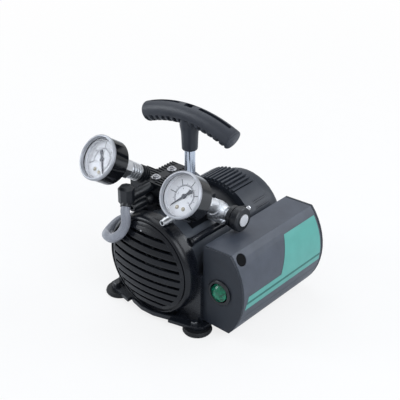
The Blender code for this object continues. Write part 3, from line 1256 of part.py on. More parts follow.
def regulator():
    """Chrome tee on the manifold, with the needle inside and the knob on its neck."""
    left = MANIFOLD_RIGHT_X + SEAT_GAP
    body = [
        (0, left),
        (TEE_RADIUS, left),
        (TEE_RADIUS, TEE_END_X),
        (TEE_SHOULDER_RADIUS, TEE_END_X),
        (TEE_SHOULDER_RADIUS, TEE_SHOULDER_X),
        (NECK_RADIUS, TEE_SHOULDER_X),
        (NECK_RADIUS, NECK_END_X),
        (0, NECK_END_X),
    ]
    place = (0, TEE_Y, TEE_Z)
    tee = turned("regulator_tee", body, 20, chrome(), place, ALONG_X)
    branch = rod_profile(TEE_BRANCH_RADIUS, -TEE_BRANCH_LENGTH, -SEAT_GAP)
    join(tee, turned("tee_branch", branch, 20, None, RIGHT_FOOT, facing_turn(RIGHT_FACING), True))
    foot_z = TEE_Z - TEE_FOOT_DROP
    leg = rod_profile(TEE_LEG_RADIUS, foot_z + TEE_FOOT_THICKNESS / 2, TEE_Z)
    leg_x = (left + TEE_END_X) / 2
    leg_y = TEE_Y + TEE_LEG_BACK
    join(tee, turned("tee_leg", leg, 20, None, (leg_x, leg_y, 0), UPRIGHT, True))
    foot_end = TEE_END_X + TEE_FOOT_OVERHANG
    foot_low = (left, leg_y - TEE_FOOT_DEPTH / 2, foot_z)
    foot_high = (foot_end, leg_y + TEE_FOOT_DEPTH / 2, foot_z + TEE_FOOT_THICKNESS)
    join(tee, blocks("tee_foot", [(foot_low, foot_high)], None, True))
    needle_start = NECK_END_X - NEEDLE_LENGTH
    bore = rod_profile(NEEDLE_RADIUS + RUNNING_GAP, needle_start - RUNNING_GAP, NECK_END_X + NEEDLE_LENGTH)
    cut(tee, turned("needle_bore", bore, 16, None, place, ALONG_X, True))
    needle = [
        (0, needle_start),
        (NEEDLE_TIP_RADIUS, needle_start),
        (NEEDLE_RADIUS, needle_start + NEEDLE_TAPER),
        (NEEDLE_RADIUS, NECK_END_X - RUNNING_GAP),
        (0, NECK_END_X - RUNNING_GAP),
    ]
    turned("valve_needle", needle, 16, steel(), place, ALONG_X)
    knob_end = KNOB_START_X + KNOB_LENGTH
    step = KNOB_START_X + KNOB_STEP_LENGTH
    bore_end = NECK_END_X + NEEDLE_TRAVEL + KNOB_BORE_SPARE
    bore_radius = NECK_RADIUS + RUNNING_GAP
    groove = KNOB_RADIUS - KNOB_GROOVE
    knob_profile = [
        (0, bore_end),
        (bore_radius, bore_end),
        (bore_radius, KNOB_START_X),
        (KNOB_STEP_RADIUS - KNOB_EDGE, KNOB_START_X),
        (KNOB_STEP_RADIUS, KNOB_START_X + KNOB_EDGE),
        (KNOB_STEP_RADIUS, step - KNOB_EDGE),
        (groove, step - KNOB_EDGE),
        (groove, step),
        (KNOB_RADIUS - KNOB_EDGE, step),
        (KNOB_RADIUS, step + KNOB_EDGE),
        (KNOB_RADIUS, knob_end - KNOB_EDGE),
        (KNOB_RADIUS - KNOB_EDGE, knob_end),
        (0, knob_end),
    ]
    turned("knob", knob_profile, 32, black_plastic(), place, ALONG_X)
    cap = rod_profile(KNOB_CAP_RADIUS, knob_end + SEAT_GAP, knob_end + SEAT_GAP + KNOB_CAP_THICKNESS)
    turned("knob_cap", cap, 24, steel(), place, ALONG_X)


def grip_point(x, lift):
    """The (x, z) of a point at a lift above the grip's drooping centre line."""
    angle = x / GRIP_ARC_RADIUS
    reach = GRIP_ARC_RADIUS + lift
    return (reach * sin(angle), GRIP_CENTRE_Z - GRIP_ARC_RADIUS + reach * cos(angle))


def grip_bmesh():
    """The T grip: round rings along a drooping arc, scalloped below for the fingers, with flat ends."""
    rings = 4 * GRIP_SCALLOPS
    sides = 12
    places = [GRIP_HALF_LENGTH * (2 * index / rings - 1) for index in range(rings + 1)]
    bm = bmesh.new()
    loops = []
    for x in places:
        at_end = abs(x) > GRIP_HALF_LENGTH - GRIP_EDGE / 2
        size = GRIP_RADIUS - GRIP_EDGE if at_end else GRIP_RADIUS
        wave = GRIP_SCALLOP * (0.5 - 0.5 * cos(x / GRIP_HALF_LENGTH * pi * GRIP_SCALLOPS))
        loop = []
        for side in range(sides):
            turn = 2 * pi * side / sides
            lift = sin(turn)
            reach = size - (wave if lift < -0.8 else 0.0)
            across, up = grip_point(x, reach * lift)
            loop.append(bm.verts.new((across, POST_Y + cos(turn) * size, up)))
        loops.append(loop)
    for first, second in zip(loops, loops[1:]):
        for side in range(sides):
            after = (side + 1) % sides
            bm.faces.new((first[side], first[after], second[after], second[side]))
    bm.faces.new(reversed(loops[0]))
    bm.faces.new(loops[-1])
    return bm


def grip_slot(name, start, end, depth):
    """A slot cut into the top of the grip between two places along it."""
    steps = 6
    places = [start + (end - start) * index / steps for index in range(steps + 1)]
    outline = [grip_point(x, GRIP_RADIUS - depth) for x in places]
    outline += [grip_point(x, GRIP_RADIUS + depth) for x in reversed(places)]
    half = GRIP_SLOT_WIDTH / 2
    return wall(name, outline, POST_Y - half, POST_Y + half, None, True)


def handle():
    post = rod_profile(POST_RADIUS, POST_BOTTOM_Z, POST_TOP_Z)
    turned("handle_post", post, 20, chrome(), (0, POST_Y, 0), UPRIGHT)
    grip = mesh_object("handle_grip", grip_bmesh(), material("soft_black", BLACK, 0.6))
    stem_top = GRIP_CENTRE_Z
    stem = [(0, GRIP_STEM_BOTTOM_Z), (GRIP_STEM_RADIUS, GRIP_STEM_BOTTOM_Z)]
    stem += [(GRIP_STEM_TOP_RADIUS, stem_top), (0, stem_top)]
    join(grip, turned("grip_stem", stem, 20, None, (0, POST_Y, 0), UPRIGHT, True))
    cut(grip, grip_slot("grip_slot_right", GRIP_SLOT_START, GRIP_SLOT_END, GRIP_SLOT_DEPTH))
    cut(grip, grip_slot("grip_slot_left", -GRIP_SLOT_END, -GRIP_SLOT_START, GRIP_SLOT_DEPTH))
    cut(grip, grip_slot("grip_pocket", -GRIP_POCKET_HALF, GRIP_POCKET_HALF, GRIP_POCKET_DEPTH))
    socket = rod_profile(POST_RADIUS + SEAT_GAP, GRIP_STEM_BOTTOM_Z - POST_RADIUS, POST_TOP_Z + SEAT_GAP)
    cut(grip, turned("grip_socket", socket, 20, None, (0, POST_Y, 0), UPRIGHT, True))


def smooth_path(points, steps):
    """Points on a Catmull-Rom curve through the route."""
    ends = [points[0] * 2 - points[1]] + points + [points[-1] * 2 - points[-2]]
    path = []
    for before, first, second, after in zip(ends, ends[1:], ends[2:], ends[3:]):
        for step in range(steps):
            t = step / steps
            bend = 2 * before - 5 * first + 4 * second - after
            twist = 3 * first - before - 3 * second + after
            path.append((2 * first + (second - before) * t + bend * t**2 + twist * t**3) / 2)
    return path + [points[-1]]


def hose():
    curve = bpy.data.curves.new("hose", "CURVE")
    curve.dimensions = "3D"
    curve.bevel_depth = HOSE_RADIUS
    curve.bevel_resolution = 2
    curve.use_fill_caps = True
    path = smooth_path([Vector(point) for point in HOSE_ROUTE], 2)
    spline = curve.splines.new("POLY")
    spline.points.add(len(path) - 1)
    for point, place in zip(spline.points, path):
        point.co = (*place, 1.0)
    curve.materials.append(material("clear_hose", (0.62, 0.64, 0.68), 0.25, alpha=0.7))
    made = bpy.data.objects.new("hose", curve)
    bpy.context.scene.collection.objects.link(made)
    made.parent = PUMP_AXIS


clear_scene()
PUMP_AXIS = make_axis()
front_cover()
front_foot_plate()
rear_foot_plate()
for foot_name, foot_side, foot_y in (
    ("foot_front_left", -1, FOOT_FRONT_Y),
    ("foot_front_right", 1, FOOT_FRONT_Y),
    ("foot_rear_left", -1, FOOT_REAR_Y),
    ("foot_rear_right", 1, FOOT_REAR_Y),
):
    rubber_foot(foot_name, foot_side, foot_y)
barrel()
pump_pieces()
fan()
motor_pieces()
switch_box()
switch()
head_pieces()
fittings()
regulator()
gauge("left", LEFT_FOOT, LEFT_FACING, LEFT_STEM_LENGTH, LEFT_POINTER_DEG)
gauge("right", RIGHT_FOOT, RIGHT_FACING, RIGHT_STEM_LENGTH, RIGHT_POINTER_DEG)
handle()
hose()
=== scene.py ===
"""Looks of the rotary vane vacuum pump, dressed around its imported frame. Units: metres, +Z up.

Pieces are written in the motor's own frame, whose origin is on the motor axis in the plane of the
front cover's groove: X towards the switch box, Y along the axis to the rear, Z up.
"""

import json
from math import cos, pi, radians, sin, sqrt

import bmesh
import bpy
from mathutils import Euler, Matrix, Vector


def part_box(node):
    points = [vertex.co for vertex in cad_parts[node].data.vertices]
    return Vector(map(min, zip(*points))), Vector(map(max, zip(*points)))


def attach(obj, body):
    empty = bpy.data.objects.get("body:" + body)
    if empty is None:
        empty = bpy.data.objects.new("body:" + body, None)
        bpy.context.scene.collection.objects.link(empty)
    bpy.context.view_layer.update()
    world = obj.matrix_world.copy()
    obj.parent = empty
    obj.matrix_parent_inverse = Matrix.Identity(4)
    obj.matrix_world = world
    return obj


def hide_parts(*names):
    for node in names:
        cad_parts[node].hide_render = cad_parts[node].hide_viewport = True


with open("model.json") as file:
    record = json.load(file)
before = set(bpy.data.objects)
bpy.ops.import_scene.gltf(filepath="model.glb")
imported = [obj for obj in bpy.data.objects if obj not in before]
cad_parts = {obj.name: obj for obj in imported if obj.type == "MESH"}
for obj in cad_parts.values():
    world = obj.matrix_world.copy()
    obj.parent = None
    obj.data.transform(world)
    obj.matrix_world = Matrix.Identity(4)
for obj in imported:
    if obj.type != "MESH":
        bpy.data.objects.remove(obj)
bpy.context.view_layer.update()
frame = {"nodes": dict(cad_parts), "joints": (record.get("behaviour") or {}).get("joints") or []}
NODES = frame["nodes"]
JOINTS = {joint["name"]: joint for joint in frame["joints"]}
BODY = "frame"

# From the cover's groove, the origin of the motor's frame, back to the cover's rear edge
COVER_BACK = 0.0140

SPIN = Vector(JOINTS["rotor_spin"]["pos_m"])
AXIS = Vector((SPIN.x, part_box("front_cover")[1].y - COVER_BACK, SPIN.z))


# Materials

MOTTLE_DETAIL = 4.0
GRAIN_DETAIL = 2.0
LEAST_ROUGHNESS = 0.02
RAMP_START = 0.3
RAMP_END = 0.7
DULL = {"Specular_IOR_Level": 0.35}


def node_of(tree, kind, **inputs):
    """A shader node with some of its inputs set by name."""
    made = tree.nodes.new(kind)
    for name, value in inputs.items():
        made.inputs[name.replace("_", " ")].default_value = value
    return made


def noise(tree, scale, detail, stretch=(1.0, 1.0, 1.0)):
    """Noise in the piece's own metres: scale is in features per metre."""
    place = tree.nodes.new("ShaderNodeTexCoord")
    sizing = tree.nodes.new("ShaderNodeMapping")
    sizing.inputs["Scale"].default_value = stretch
    texture = node_of(tree, "ShaderNodeTexNoise", Scale=scale, Detail=detail)
    tree.links.new(place.outputs["Object"], sizing.inputs["Vector"])
    tree.links.new(sizing.outputs["Vector"], texture.inputs["Vector"])
    return texture.outputs["Fac"]


def blend_colours(tree, factor, dark, light):
    """A colour between dark and light, as a factor says."""
    ramp = tree.nodes.new("ShaderNodeValToRGB")
    ramp.color_ramp.elements[0].position = RAMP_START
    ramp.color_ramp.elements[1].position = RAMP_END
    ramp.color_ramp.elements[0].color = (*dark, 1.0)
    ramp.color_ramp.elements[1].color = (*light, 1.0)
    tree.links.new(factor, ramp.inputs["Fac"])
    return ramp.outputs["Color"]


def remap(tree, value, start, end, low, high):
    """A value between start and end, turned into one between low and high."""
    made = node_of(tree, "ShaderNodeMapRange", From_Min=start, From_Max=end, To_Min=low, To_Max=high)
    tree.links.new(value, made.inputs["Value"])
    return made.outputs["Result"]


def finish_material(
    name,
    colour,
    roughness,
    metallic,
    spread=0.12,
    mottle=60.0,
    grain=1800.0,
    relief=0.00002,
    rough_spread=0.06,
    stretch=(1.0, 1.0, 1.0),
    **sockets,
):
    """A Principled material: mottled colour, uneven roughness and a fine grain in relief."""
    made = bpy.data.materials.new(name)
    made.use_nodes = True
    tree = made.node_tree
    shader = tree.nodes["Principled BSDF"]
    dark = [channel * (1 - spread) for channel in colour]
    light = [min(channel * (1 + spread), 1.0) for channel in colour]
    colours = blend_colours(tree, noise(tree, mottle, MOTTLE_DETAIL, stretch), dark, light)
    tree.links.new(colours, shader.inputs["Base Color"])
    fine = noise(tree, grain, GRAIN_DETAIL, stretch)
    smoothest = max(roughness - rough_spread, LEAST_ROUGHNESS)
    roughest = min(roughness + rough_spread, 1.0)
    tree.links.new(remap(tree, fine, 0.0, 1.0, smoothest, roughest), shader.inputs["Roughness"])
    if relief:
        bump = node_of(tree, "ShaderNodeBump", Strength=1.0, Distance=relief)
        tree.links.new(fine, bump.inputs["Height"])
        tree.links.new(bump.outputs["Normal"], shader.inputs["Normal"])
    shader.inputs["Metallic"].default_value = metallic
    for socket, value in sockets.items():
        shader.inputs[socket.replace("_", " ")].default_value = value
    return made


def finish(colour, roughness, metallic=0.0, **rest):
    """The settings of one material, as finish_material takes them."""
    return {"colour": colour, "roughness": roughness, "metallic": metallic, **rest}


FINISHES = {
    "cast_black": finish((0.0068, 0.0082, 0.0115), 0.38, grain=1500, relief=0.00005, **DULL),
    "plate_black": finish((0.0095, 0.0115, 0.0162), 0.27, grain=1500),
    "rod_black": finish((0.0110, 0.0132, 0.0185), 0.22, grain=1500, relief=0.00001),
    "cover_black": finish((0.0042, 0.0054, 0.0085), 0.27, grain=2200, relief=0.00001, **DULL),
    "motor_paint": finish((0.0265, 0.0318, 0.0425), 0.38, grain=1300, relief=0.00004, **DULL),
    "barrel_paint": finish((0.0760, 0.0860, 0.1040), 0.36),
    "box_plastic": finish((0.0620, 0.0710, 0.0920), 0.44, grain=2600, relief=0.00003),
    "seam": finish((0.0290, 0.0330, 0.0430), 0.50, grain=2600),
    "cap_plastic": finish((0.0170, 0.0215, 0.0305), 0.46, grain=2600, relief=0.00003, **DULL),
    "black_plastic": finish((0.0062, 0.0078, 0.0112), 0.38, grain=2400),
    "gloss_black": finish((0.0040, 0.0046, 0.0062), 0.09, rough_spread=0.03, relief=0.000004),
    "rubber": finish((0.0072, 0.0080, 0.0098), 0.50, grain=1500, relief=0.00006, **DULL),
    # Near-black and dull: painted shade, so the box's plug reads as a dark open hole
    "hole_shade_black": finish((0.0028, 0.0031, 0.0038), 0.70, Specular_IOR_Level=0.1),
    "grip_rubber": finish((0.0200, 0.0242, 0.0350), 0.44, grain=3000, relief=0.00003),
    "post_chrome": finish((0.50, 0.55, 0.63), 0.14, 1.0, spread=0.04, relief=0.000003),
    "chrome": finish((0.64, 0.65, 0.68), 0.18, 1.0, spread=0.04, relief=0.000003),
    "satin": finish((0.40, 0.41, 0.44), 0.40, 0.55, spread=0.04, relief=0.000003),
    "nickel": finish((0.66, 0.67, 0.69), 0.30, 1.0, spread=0.08, relief=0.00001),
    "dull_nickel": finish((0.84, 0.86, 0.89), 0.42, 1.0, spread=0.08, relief=0.00001),
    "steel": finish((0.50, 0.50, 0.52), 0.34, 1.0, spread=0.10, relief=0.00001),
    # Steel darkened as painted shade, so the motor's inside shows no glints through the louvre slots
    "shade_darkened_steel": finish((0.050, 0.052, 0.056), 0.52, 1.0, spread=0.10, relief=0.00001),
    "cap_silver": finish((0.78, 0.78, 0.80), 0.42, 0.6, spread=0.06, relief=0.00001),
    "copper": finish((0.70, 0.33, 0.16), 0.34, 1.0, spread=0.18, grain=1400, relief=0.00008),
    "brass": finish((0.25, 0.23, 0.19), 0.45, 1.0, spread=0.10, relief=0.00001),
    "aluminium": finish((0.66, 0.67, 0.69), 0.32, 1.0, spread=0.05, stretch=(1, 0.05, 1)),
    "carbon": finish((0.030, 0.030, 0.032), 0.50, spread=0.25),
    "dial": finish((0.480, 0.484, 0.507), 0.55, spread=0.03, mottle=90, relief=0.000004),
    "ink": finish((0.045, 0.048, 0.060), 0.60, spread=0.10, relief=0.000004),
    "glass": finish(
        (0.97, 0.98, 0.99),
        0.03,
        spread=0.01,
        rough_spread=0.01,
        relief=0,
        Transmission_Weight=1.0,
        IOR=1.12,
        Specular_IOR_Level=0.4,
    ),
    # Strong mottle: partly random tone, partly painted highlights and painted shade across the lens
    "green_lens": finish(
        (0.010, 0.195, 0.108),
        0.07,
        spread=0.65,
        mottle=210,
        rough_spread=0.04,
        relief=0.00001,
        Transmission_Weight=0.35,
        IOR=1.45,
    ),
    "green_print": finish((0.100, 0.372, 0.325), 0.42, spread=0.05, grain=2600),
    "dark_green_print": finish((0.010, 0.130, 0.110), 0.42, spread=0.05, grain=2600),
    "hose": finish(
        (0.300, 0.312, 0.354),
        0.28,
        spread=0.08,
        mottle=140,
        rough_spread=0.08,
        relief=0.00001,
        Transmission_Weight=0.15,
        IOR=1.42,
    ),
}
MATERIALS = {name: finish_material(name, **settings) for name, settings in FINISHES.items()}


# Mesh helpers

WELD = 1e-7
SHARP_DEG = 35.0
CUT_SHARP_DEG = 40.0
ALONG_Y = Euler((-pi / 2, 0, 0))


def piece(name, bm, surface, body=BODY, place=AXIS, turn=None):
    """A mesh object that rides on a body, smooth except at edges sharper than SHARP_DEG."""
    bmesh.ops.remove_doubles(bm, verts=bm.verts, dist=WELD)
    bmesh.ops.recalc_face_normals(bm, faces=bm.faces)
    mesh = bpy.data.meshes.new(name)
    bm.to_mesh(mesh)
    bm.free()
    mesh.shade_smooth()
    mesh.set_sharp_from_angle(angle=radians(SHARP_DEG))
    mesh.materials.append(MATERIALS[surface])
    made = bpy.data.objects.new(name, mesh)
    bpy.context.scene.collection.objects.link(made)
    made.location = place
    if turn is not None:
        made.rotation_euler = turn
    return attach(made, body)


def merge(target, part):
    """Adds one bmesh to another and frees it."""
    mesh = bpy.data.meshes.new("merged")
    part.to_mesh(mesh)
    part.free()
    target.from_mesh(mesh)
    bpy.data.meshes.remove(mesh)
    return target


def evaluated_mesh(made):
    """A new mesh of an object as it stands, with its modifiers."""
    bpy.context.view_layer.update()
    return bpy.data.meshes.new_from_object(made.evaluated_get(bpy.context.evaluated_depsgraph_get()))


def spun(profile, segments, closed=False):
    """A profile of (radius, height) points spun about Z. A closed profile makes a ring."""
    bm = bmesh.new()
    points = [bm.verts.new((radius, 0.0, height)) for radius, height in profile]
    edges = [bm.edges.new(pair) for pair in zip(points, points[1:])]
    if closed:
        edges.append(bm.edges.new((points[-1], points[0])))
    bmesh.ops.spin(
        bm,
        geom=points + edges,
        axis=(0, 0, 1),
        cent=(0, 0, 0),
        angle=2 * pi,
        steps=segments,
        use_merge=True,
    )
    bmesh.ops.remove_doubles(bm, verts=bm.verts, dist=WELD)
    return bm


def rounded_block(low, high, width):
    """A box between two corners, with every edge rounded."""
    bm = bmesh.new()
    middle = (Vector(low) + Vector(high)) / 2
    size = Vector(high) - Vector(low)
    matrix = Matrix.Translation(middle) @ Matrix.Diagonal((*size, 1.0))
    bmesh.ops.create_cube(bm, size=1.0, matrix=matrix)
    bmesh.ops.bevel(bm, geom=bm.edges[:], offset=width, segments=2, affect="EDGES", profile=0.5)
    return bm


def bridge(bm, loops, closed=True, caps=True):
    """Quads between point loops of equal length, with the first and last loop filled."""
    rows = [[bm.verts.new(point) for point in loop] for loop in loops]
    count = len(rows[0])
    steps = count if closed else count - 1
    for first, second in zip(rows, rows[1:]):
        for index in range(steps):
            after = (index + 1) % count
            bm.faces.new((first[index], first[after], second[after], second[index]))
    if caps:
        bm.faces.new(list(reversed(rows[0])))
        bm.faces.new(rows[-1])
    return bm


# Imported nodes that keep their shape

NODE_WELD = 1e-6
FLAT_DEG = 0.5
EDGE_DEG = 38.0

# Nodes, their finish, and the width that their edges are rounded by
NODE_FINISHES = [
    (["front_foot_plate", "rear_foot_plate"], "plate_black", 0.0011),
    (["head_base"], "cast_black", 0.0006),
    (["cylinder_head", "manifold_block"], "cast_black", 0.0003),
    (["motor_front_bell"], "cast_black", 0.0005),
    (["motor_shell", "rear_bell"], "motor_paint", 0.0005),
    (["pump_housing"], "barrel_paint", 0.0004),
    (["switch_box"], "box_plastic", 0.0007),
    (["box_front_cap", "box_rear_cap"], "cap_plastic", 0.0006),
    (["elbow_fitting", "inlet_nozzle", "fan"], "black_plastic", 0.0005),
    (["knob", "switch_body", "power_inlet"], "black_plastic", 0.0003),
    (["tie_rod_left", "tie_rod_right"], "rod_black", 0.0003),
    (["left_gauge_case", "right_gauge_case"], "gloss_black", 0.0003),
    (["left_gauge_pointer", "right_gauge_pointer"], "ink", 0.0001),
    ([name for name in NODES if name.startswith("foot_")], "rubber", 0.0006),
    # The plug is painted near-black as the shade of an open hole
    (["box_plug"], "hole_shade_black", 0.0003),
    (["handle_post"], "post_chrome", 0.0003),
    (["left_gauge_bezel", "right_gauge_bezel"], "satin", 0.0003),
    (["left_gauge_stem"], "nickel", 0.0004),
    (["right_gauge_stem", "regulator_tee", "outlet_barb"], "dull_nickel", 0.0004),
    # Painted shade: the front end plate, shaft and bearings are darkened so that the louvre slots
    # look black
    (["front_end_plate"], "cast_black", 0.0002),
    (["shaft", "front_bearing", "rear_bearing"], "shade_darkened_steel", 0.0002),
    (["pump_rotor", "pump_cylinder", "motor_rotor", "stator_core"], "steel", 0.0002),
    (["valve_needle", "head_screw_front", "head_screw_rear"], "steel", 0.0002),
    (["knob_cap"], "cap_silver", 0.0002),
    (["vane_left", "vane_right"], "carbon", 0.0002),
    (["stator_winding"], "copper", 0.0006),
    (["capacitor"], "aluminium", 0.0006),
    (["left_gauge_dial", "right_gauge_dial"], "dial", 0.0001),
    (["left_gauge_lens", "right_gauge_lens"], "glass", 0.0003),
]


def dress(names, surface, edge):
    """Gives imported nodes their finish, smooth curved faces and softly rounded edges."""
    for name in names:
        node = NODES[name]
        for slot in node.material_slots:
            slot.material = MATERIALS[surface]
        mesh = node.data
        if "custom_normal" in mesh.attributes:
            mesh.attributes.remove(mesh.attributes["custom_normal"])
        mesh.shade_smooth()
        weld = node.modifiers.new("weld", "WELD")
        weld.merge_threshold = NODE_WELD
        planes = node.modifiers.new("planes", "DECIMATE")
        planes.decimate_type = "DISSOLVE"
        planes.angle_limit = radians(FLAT_DEG)
        bevel = node.modifiers.new("edge", "BEVEL")
        bevel.width = edge
        bevel.segments = 2
        bevel.limit_method = "ANGLE"
        bevel.angle_limit = radians(EDGE_DEG)
        bevel.harden_normals = True


def dress_nodes():
    """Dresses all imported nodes, and lets light through the lenses onto the dials."""
    for names, surface, edge in NODE_FINISHES:
        dress(names, surface, edge)
    for side in ("left", "right"):
        NODES[side + "_gauge_lens"].visible_shadow = False


# Front cover

COVER_RADIUS = 0.0600
COVER_WALL = 0.0025
COVER_LIP = 0.0010
RIM_WIDTH = 0.0045
RIM_DEPTH = 0.0084
RIM_STEPS = 12
RIM_INNER_DROP = 0.000084
GROOVE_WIDTH = 0.0018
GROOVE_DEPTH = 0.0018
DOME_RADIUS = 0.0532
DOME_RISE = 0.0100
BORDER_WIDTH = 0.0040
BORDER_PROUD = 0.0003
BORDER_INNER_PROUD = 0.00009
LOUVRE_COUNT = 9
LOUVRE_PITCH = 0.0103
LOUVRE_HEIGHT = 0.0034
SLAT_THICKNESS = 0.0020
SLAT_COLUMNS = 56

# Height across a slat, and how far its face stands proud there: a rounded lip over each slot
SLAT_PROFILE = [
    (0.00, -0.0004),
    (0.03, 0.0004),
    (0.09, 0.0008),
    (0.18, 0.0009),
    (0.35, 0.0007),
    (0.60, 0.0003),
    (0.85, 0.0001),
    (0.96, -0.0001),
    (1.00, -0.0007),
]


def dome_depth(radius):
    """How far the dome stands in front of the groove's plane at a radius."""
    return DOME_RISE * (1 - (radius / DOME_RADIUS) ** 2)


def cover_ring():
    """Border, groove and rounded rim of the cover, with its wall behind."""
    groove_outer = COVER_RADIUS - RIM_WIDTH
    groove_inner = groove_outer - GROOVE_WIDTH
    border = DOME_RADIUS - BORDER_WIDTH
    border_face = -COVER_LIP - dome_depth(border)
    floor = GROOVE_DEPTH - COVER_LIP
    profile = [
        (border, border_face + SLAT_THICKNESS),
        (border, border_face - BORDER_INNER_PROUD),
        (border + BORDER_PROUD, border_face - BORDER_PROUD),
        (groove_inner - BORDER_PROUD, -COVER_LIP - BORDER_PROUD),
        (groove_inner, -COVER_LIP),
        (groove_inner, floor),
        (groove_outer, floor),
        (groove_outer, -COVER_LIP + RIM_INNER_DROP),
    ]
    for step in range(1, RIM_STEPS + 1):
        angle = radians(90 * step / RIM_STEPS)
        depth = -COVER_LIP + RIM_DEPTH * (1 - cos(angle))
        profile.append((groove_outer + RIM_WIDTH * sin(angle), depth))
    inner = COVER_RADIUS - COVER_WALL
    profile += [(COVER_RADIUS, COVER_BACK), (inner, COVER_BACK), (inner, RIM_DEPTH)]
    profile.append((groove_inner, floor + COVER_WALL))
    return spun(profile, segments=128, closed=True)


def slat(bottom, top):
    """One louvre slat across the dome between two heights."""
    reach = DOME_RADIUS - BORDER_WIDTH / 2
    loops = []
    for column in range(SLAT_COLUMNS + 1):
        share = 2 * column / SLAT_COLUMNS - 1
        front = []
        back = []
        for height, proud in SLAT_PROFILE:
            z = bottom + (top - bottom) * height
            x = share * sqrt(max(reach**2 - z**2, 0.0))
            y = -COVER_LIP - dome_depth(sqrt(x**2 + z**2))
            front.append((x, y - proud, z))
            back.append((x, y + SLAT_THICKNESS, z))
        loops.append(front + list(reversed(back)))
    return bridge(bmesh.new(), loops)


def front_cover():
    """The louvred cover: the ring, and a slat above and below each slot."""
    bm = cover_ring()
    bmesh.ops.rotate(bm, verts=bm.verts, cent=(0, 0, 0), matrix=ALONG_Y.to_matrix())
    slots = [(row - (LOUVRE_COUNT - 1) / 2) * LOUVRE_PITCH for row in range(LOUVRE_COUNT)]
    reach = DOME_RADIUS - BORDER_WIDTH
    edges = [-reach] + slots + [reach]
    for below, above in zip(edges, edges[1:]):
        bottom = below + (LOUVRE_HEIGHT / 2 if below != -reach else 0.0)
        top = above - (LOUVRE_HEIGHT / 2 if above != reach else 0.0)
        merge(bm, slat(bottom, top))
    cover = piece("louvred_cover", bm, "cover_black")
    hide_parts("front_cover")


# Handle

GRIP_HALF_LENGTH = 0.0628
GRIP_RADIUS = 0.0112
GRIP_EDGE = 0.0016
GRIP_DROOP = 0.0133
GRIP_CENTRE_Z = 0.1582
GRIP_ARC_RADIUS = (GRIP_HALF_LENGTH**2 + GRIP_DROOP**2) / (2 * GRIP_DROOP)
GRIP_RINGS = 216
GRIP_SIDES = 64
STEM_BOTTOM_Z = 0.1170
STEM_TOP_DROP = 0.0040
STEM_TOP_Z = GRIP_CENTRE_Z - STEM_TOP_DROP
STEM_RADIUS = 0.0089
STEM_TOP_RADIUS = 0.0103
STEM_BORE_RADIUS = 0.0064
STEM_BORE_DEPTH = 0.0040
STEM_ROUND = 0.0018
STEM_ROUND_STEPS = 5
STEM_STEPS = 14
STEM_FLARE = 0.0140
STEM_FLARE_START = 0.45
GRIP_NOTCHES = 14
GRIP_NOTCH_DEPTH = 0.0030
GRIP_BUMP = 0.0008
# Where the notches' flanks start and end, the fading of notches and bumps near the grip's ends,
# and the grip's underside
NOTCH_FLANK = (0.35, 0.65)
NOTCH_END = (0.002, 0.005)
BUMP_END = (0.0, 0.003)
UNDERSIDE = (0.30, 0.42)
GRIP_SLOT_WIDTH = 0.0045
GRIP_SLOT_DEPTH = 0.0030
GRIP_SLOT_START = 0.0130
GRIP_SLOT_END = 0.0540
GRIP_POCKET_HALF = 0.0050
GRIP_POCKET_WIDTH = 0.0075
GRIP_POCKET_DEPTH = 0.0050
POST_Y = 0.0710


def grip_point(x, lift):
    """The (x, z) of a point at a lift above the grip's drooping centre line."""
    angle = x / GRIP_ARC_RADIUS
    reach = GRIP_ARC_RADIUS + lift
    return reach * sin(angle), GRIP_CENTRE_Z - GRIP_ARC_RADIUS + reach * cos(angle)


def eased(value, start, end):
    """0 before start, 1 after end, and smooth between."""
    share = min(max((value - start) / (end - start), 0.0), 1.0)
    return share * share * (3 - 2 * share)


def grip_bar():
    """The bar of the T grip, with rounded ends and finger notches along its underside."""
    loops = []
    for ring in range(GRIP_RINGS + 1):
        x = GRIP_HALF_LENGTH * (2 * ring / GRIP_RINGS - 1)
        from_end = GRIP_HALF_LENGTH - abs(x)
        inset = max(GRIP_EDGE - from_end, 0.0)
        size = GRIP_RADIUS - GRIP_EDGE + sqrt(max(GRIP_EDGE**2 - inset**2, 0.0))
        wave = 0.5 - 0.5 * cos(x / GRIP_HALF_LENGTH * pi * GRIP_NOTCHES)
        notch = GRIP_NOTCH_DEPTH * eased(wave, *NOTCH_FLANK) * eased(from_end, *NOTCH_END)
        loop = []
        for side in range(GRIP_SIDES):
            turn = 2 * pi * side / GRIP_SIDES
            low = eased(-sin(turn), *UNDERSIDE)
            reach = size + (GRIP_BUMP * eased(from_end, *BUMP_END) - notch) * low
            across, up = grip_point(x, reach * sin(turn))
            loop.append((across, POST_Y + reach * cos(turn), up))
        loops.append(loop)
    return bridge(bmesh.new(), loops)


def grip_stem():
    """The grip's stem: rounded at the bottom, flared into the bar at the top."""
    profile = [(STEM_BORE_RADIUS, STEM_BOTTOM_Z + STEM_BORE_DEPTH), (STEM_BORE_RADIUS, STEM_BOTTOM_Z)]
    for step in range(STEM_ROUND_STEPS + 1):
        angle = radians(90 * step / STEM_ROUND_STEPS)
        radius = STEM_RADIUS - STEM_ROUND * (1 - sin(angle))
        profile.append((radius, STEM_BOTTOM_Z + STEM_ROUND * (1 - cos(angle))))
    start = STEM_BOTTOM_Z + STEM_ROUND
    for step in range(1, STEM_STEPS + 1):
        share = step / STEM_STEPS
        radius = STEM_RADIUS + (STEM_TOP_RADIUS - STEM_RADIUS) * share
        flare = STEM_FLARE * max(share - STEM_FLARE_START, 0.0) ** 2
        profile.append((min(radius + flare, GRIP_RADIUS), start + (STEM_TOP_Z - start) * share))
    profile.append((0.0, STEM_TOP_Z))
    bm = spun(profile, segments=56)
    bmesh.ops.holes_fill(bm, edges=[edge for edge in bm.edges if edge.is_boundary])
    bmesh.ops.translate(bm, verts=bm.verts, vec=(0, POST_Y, 0))
    return bm


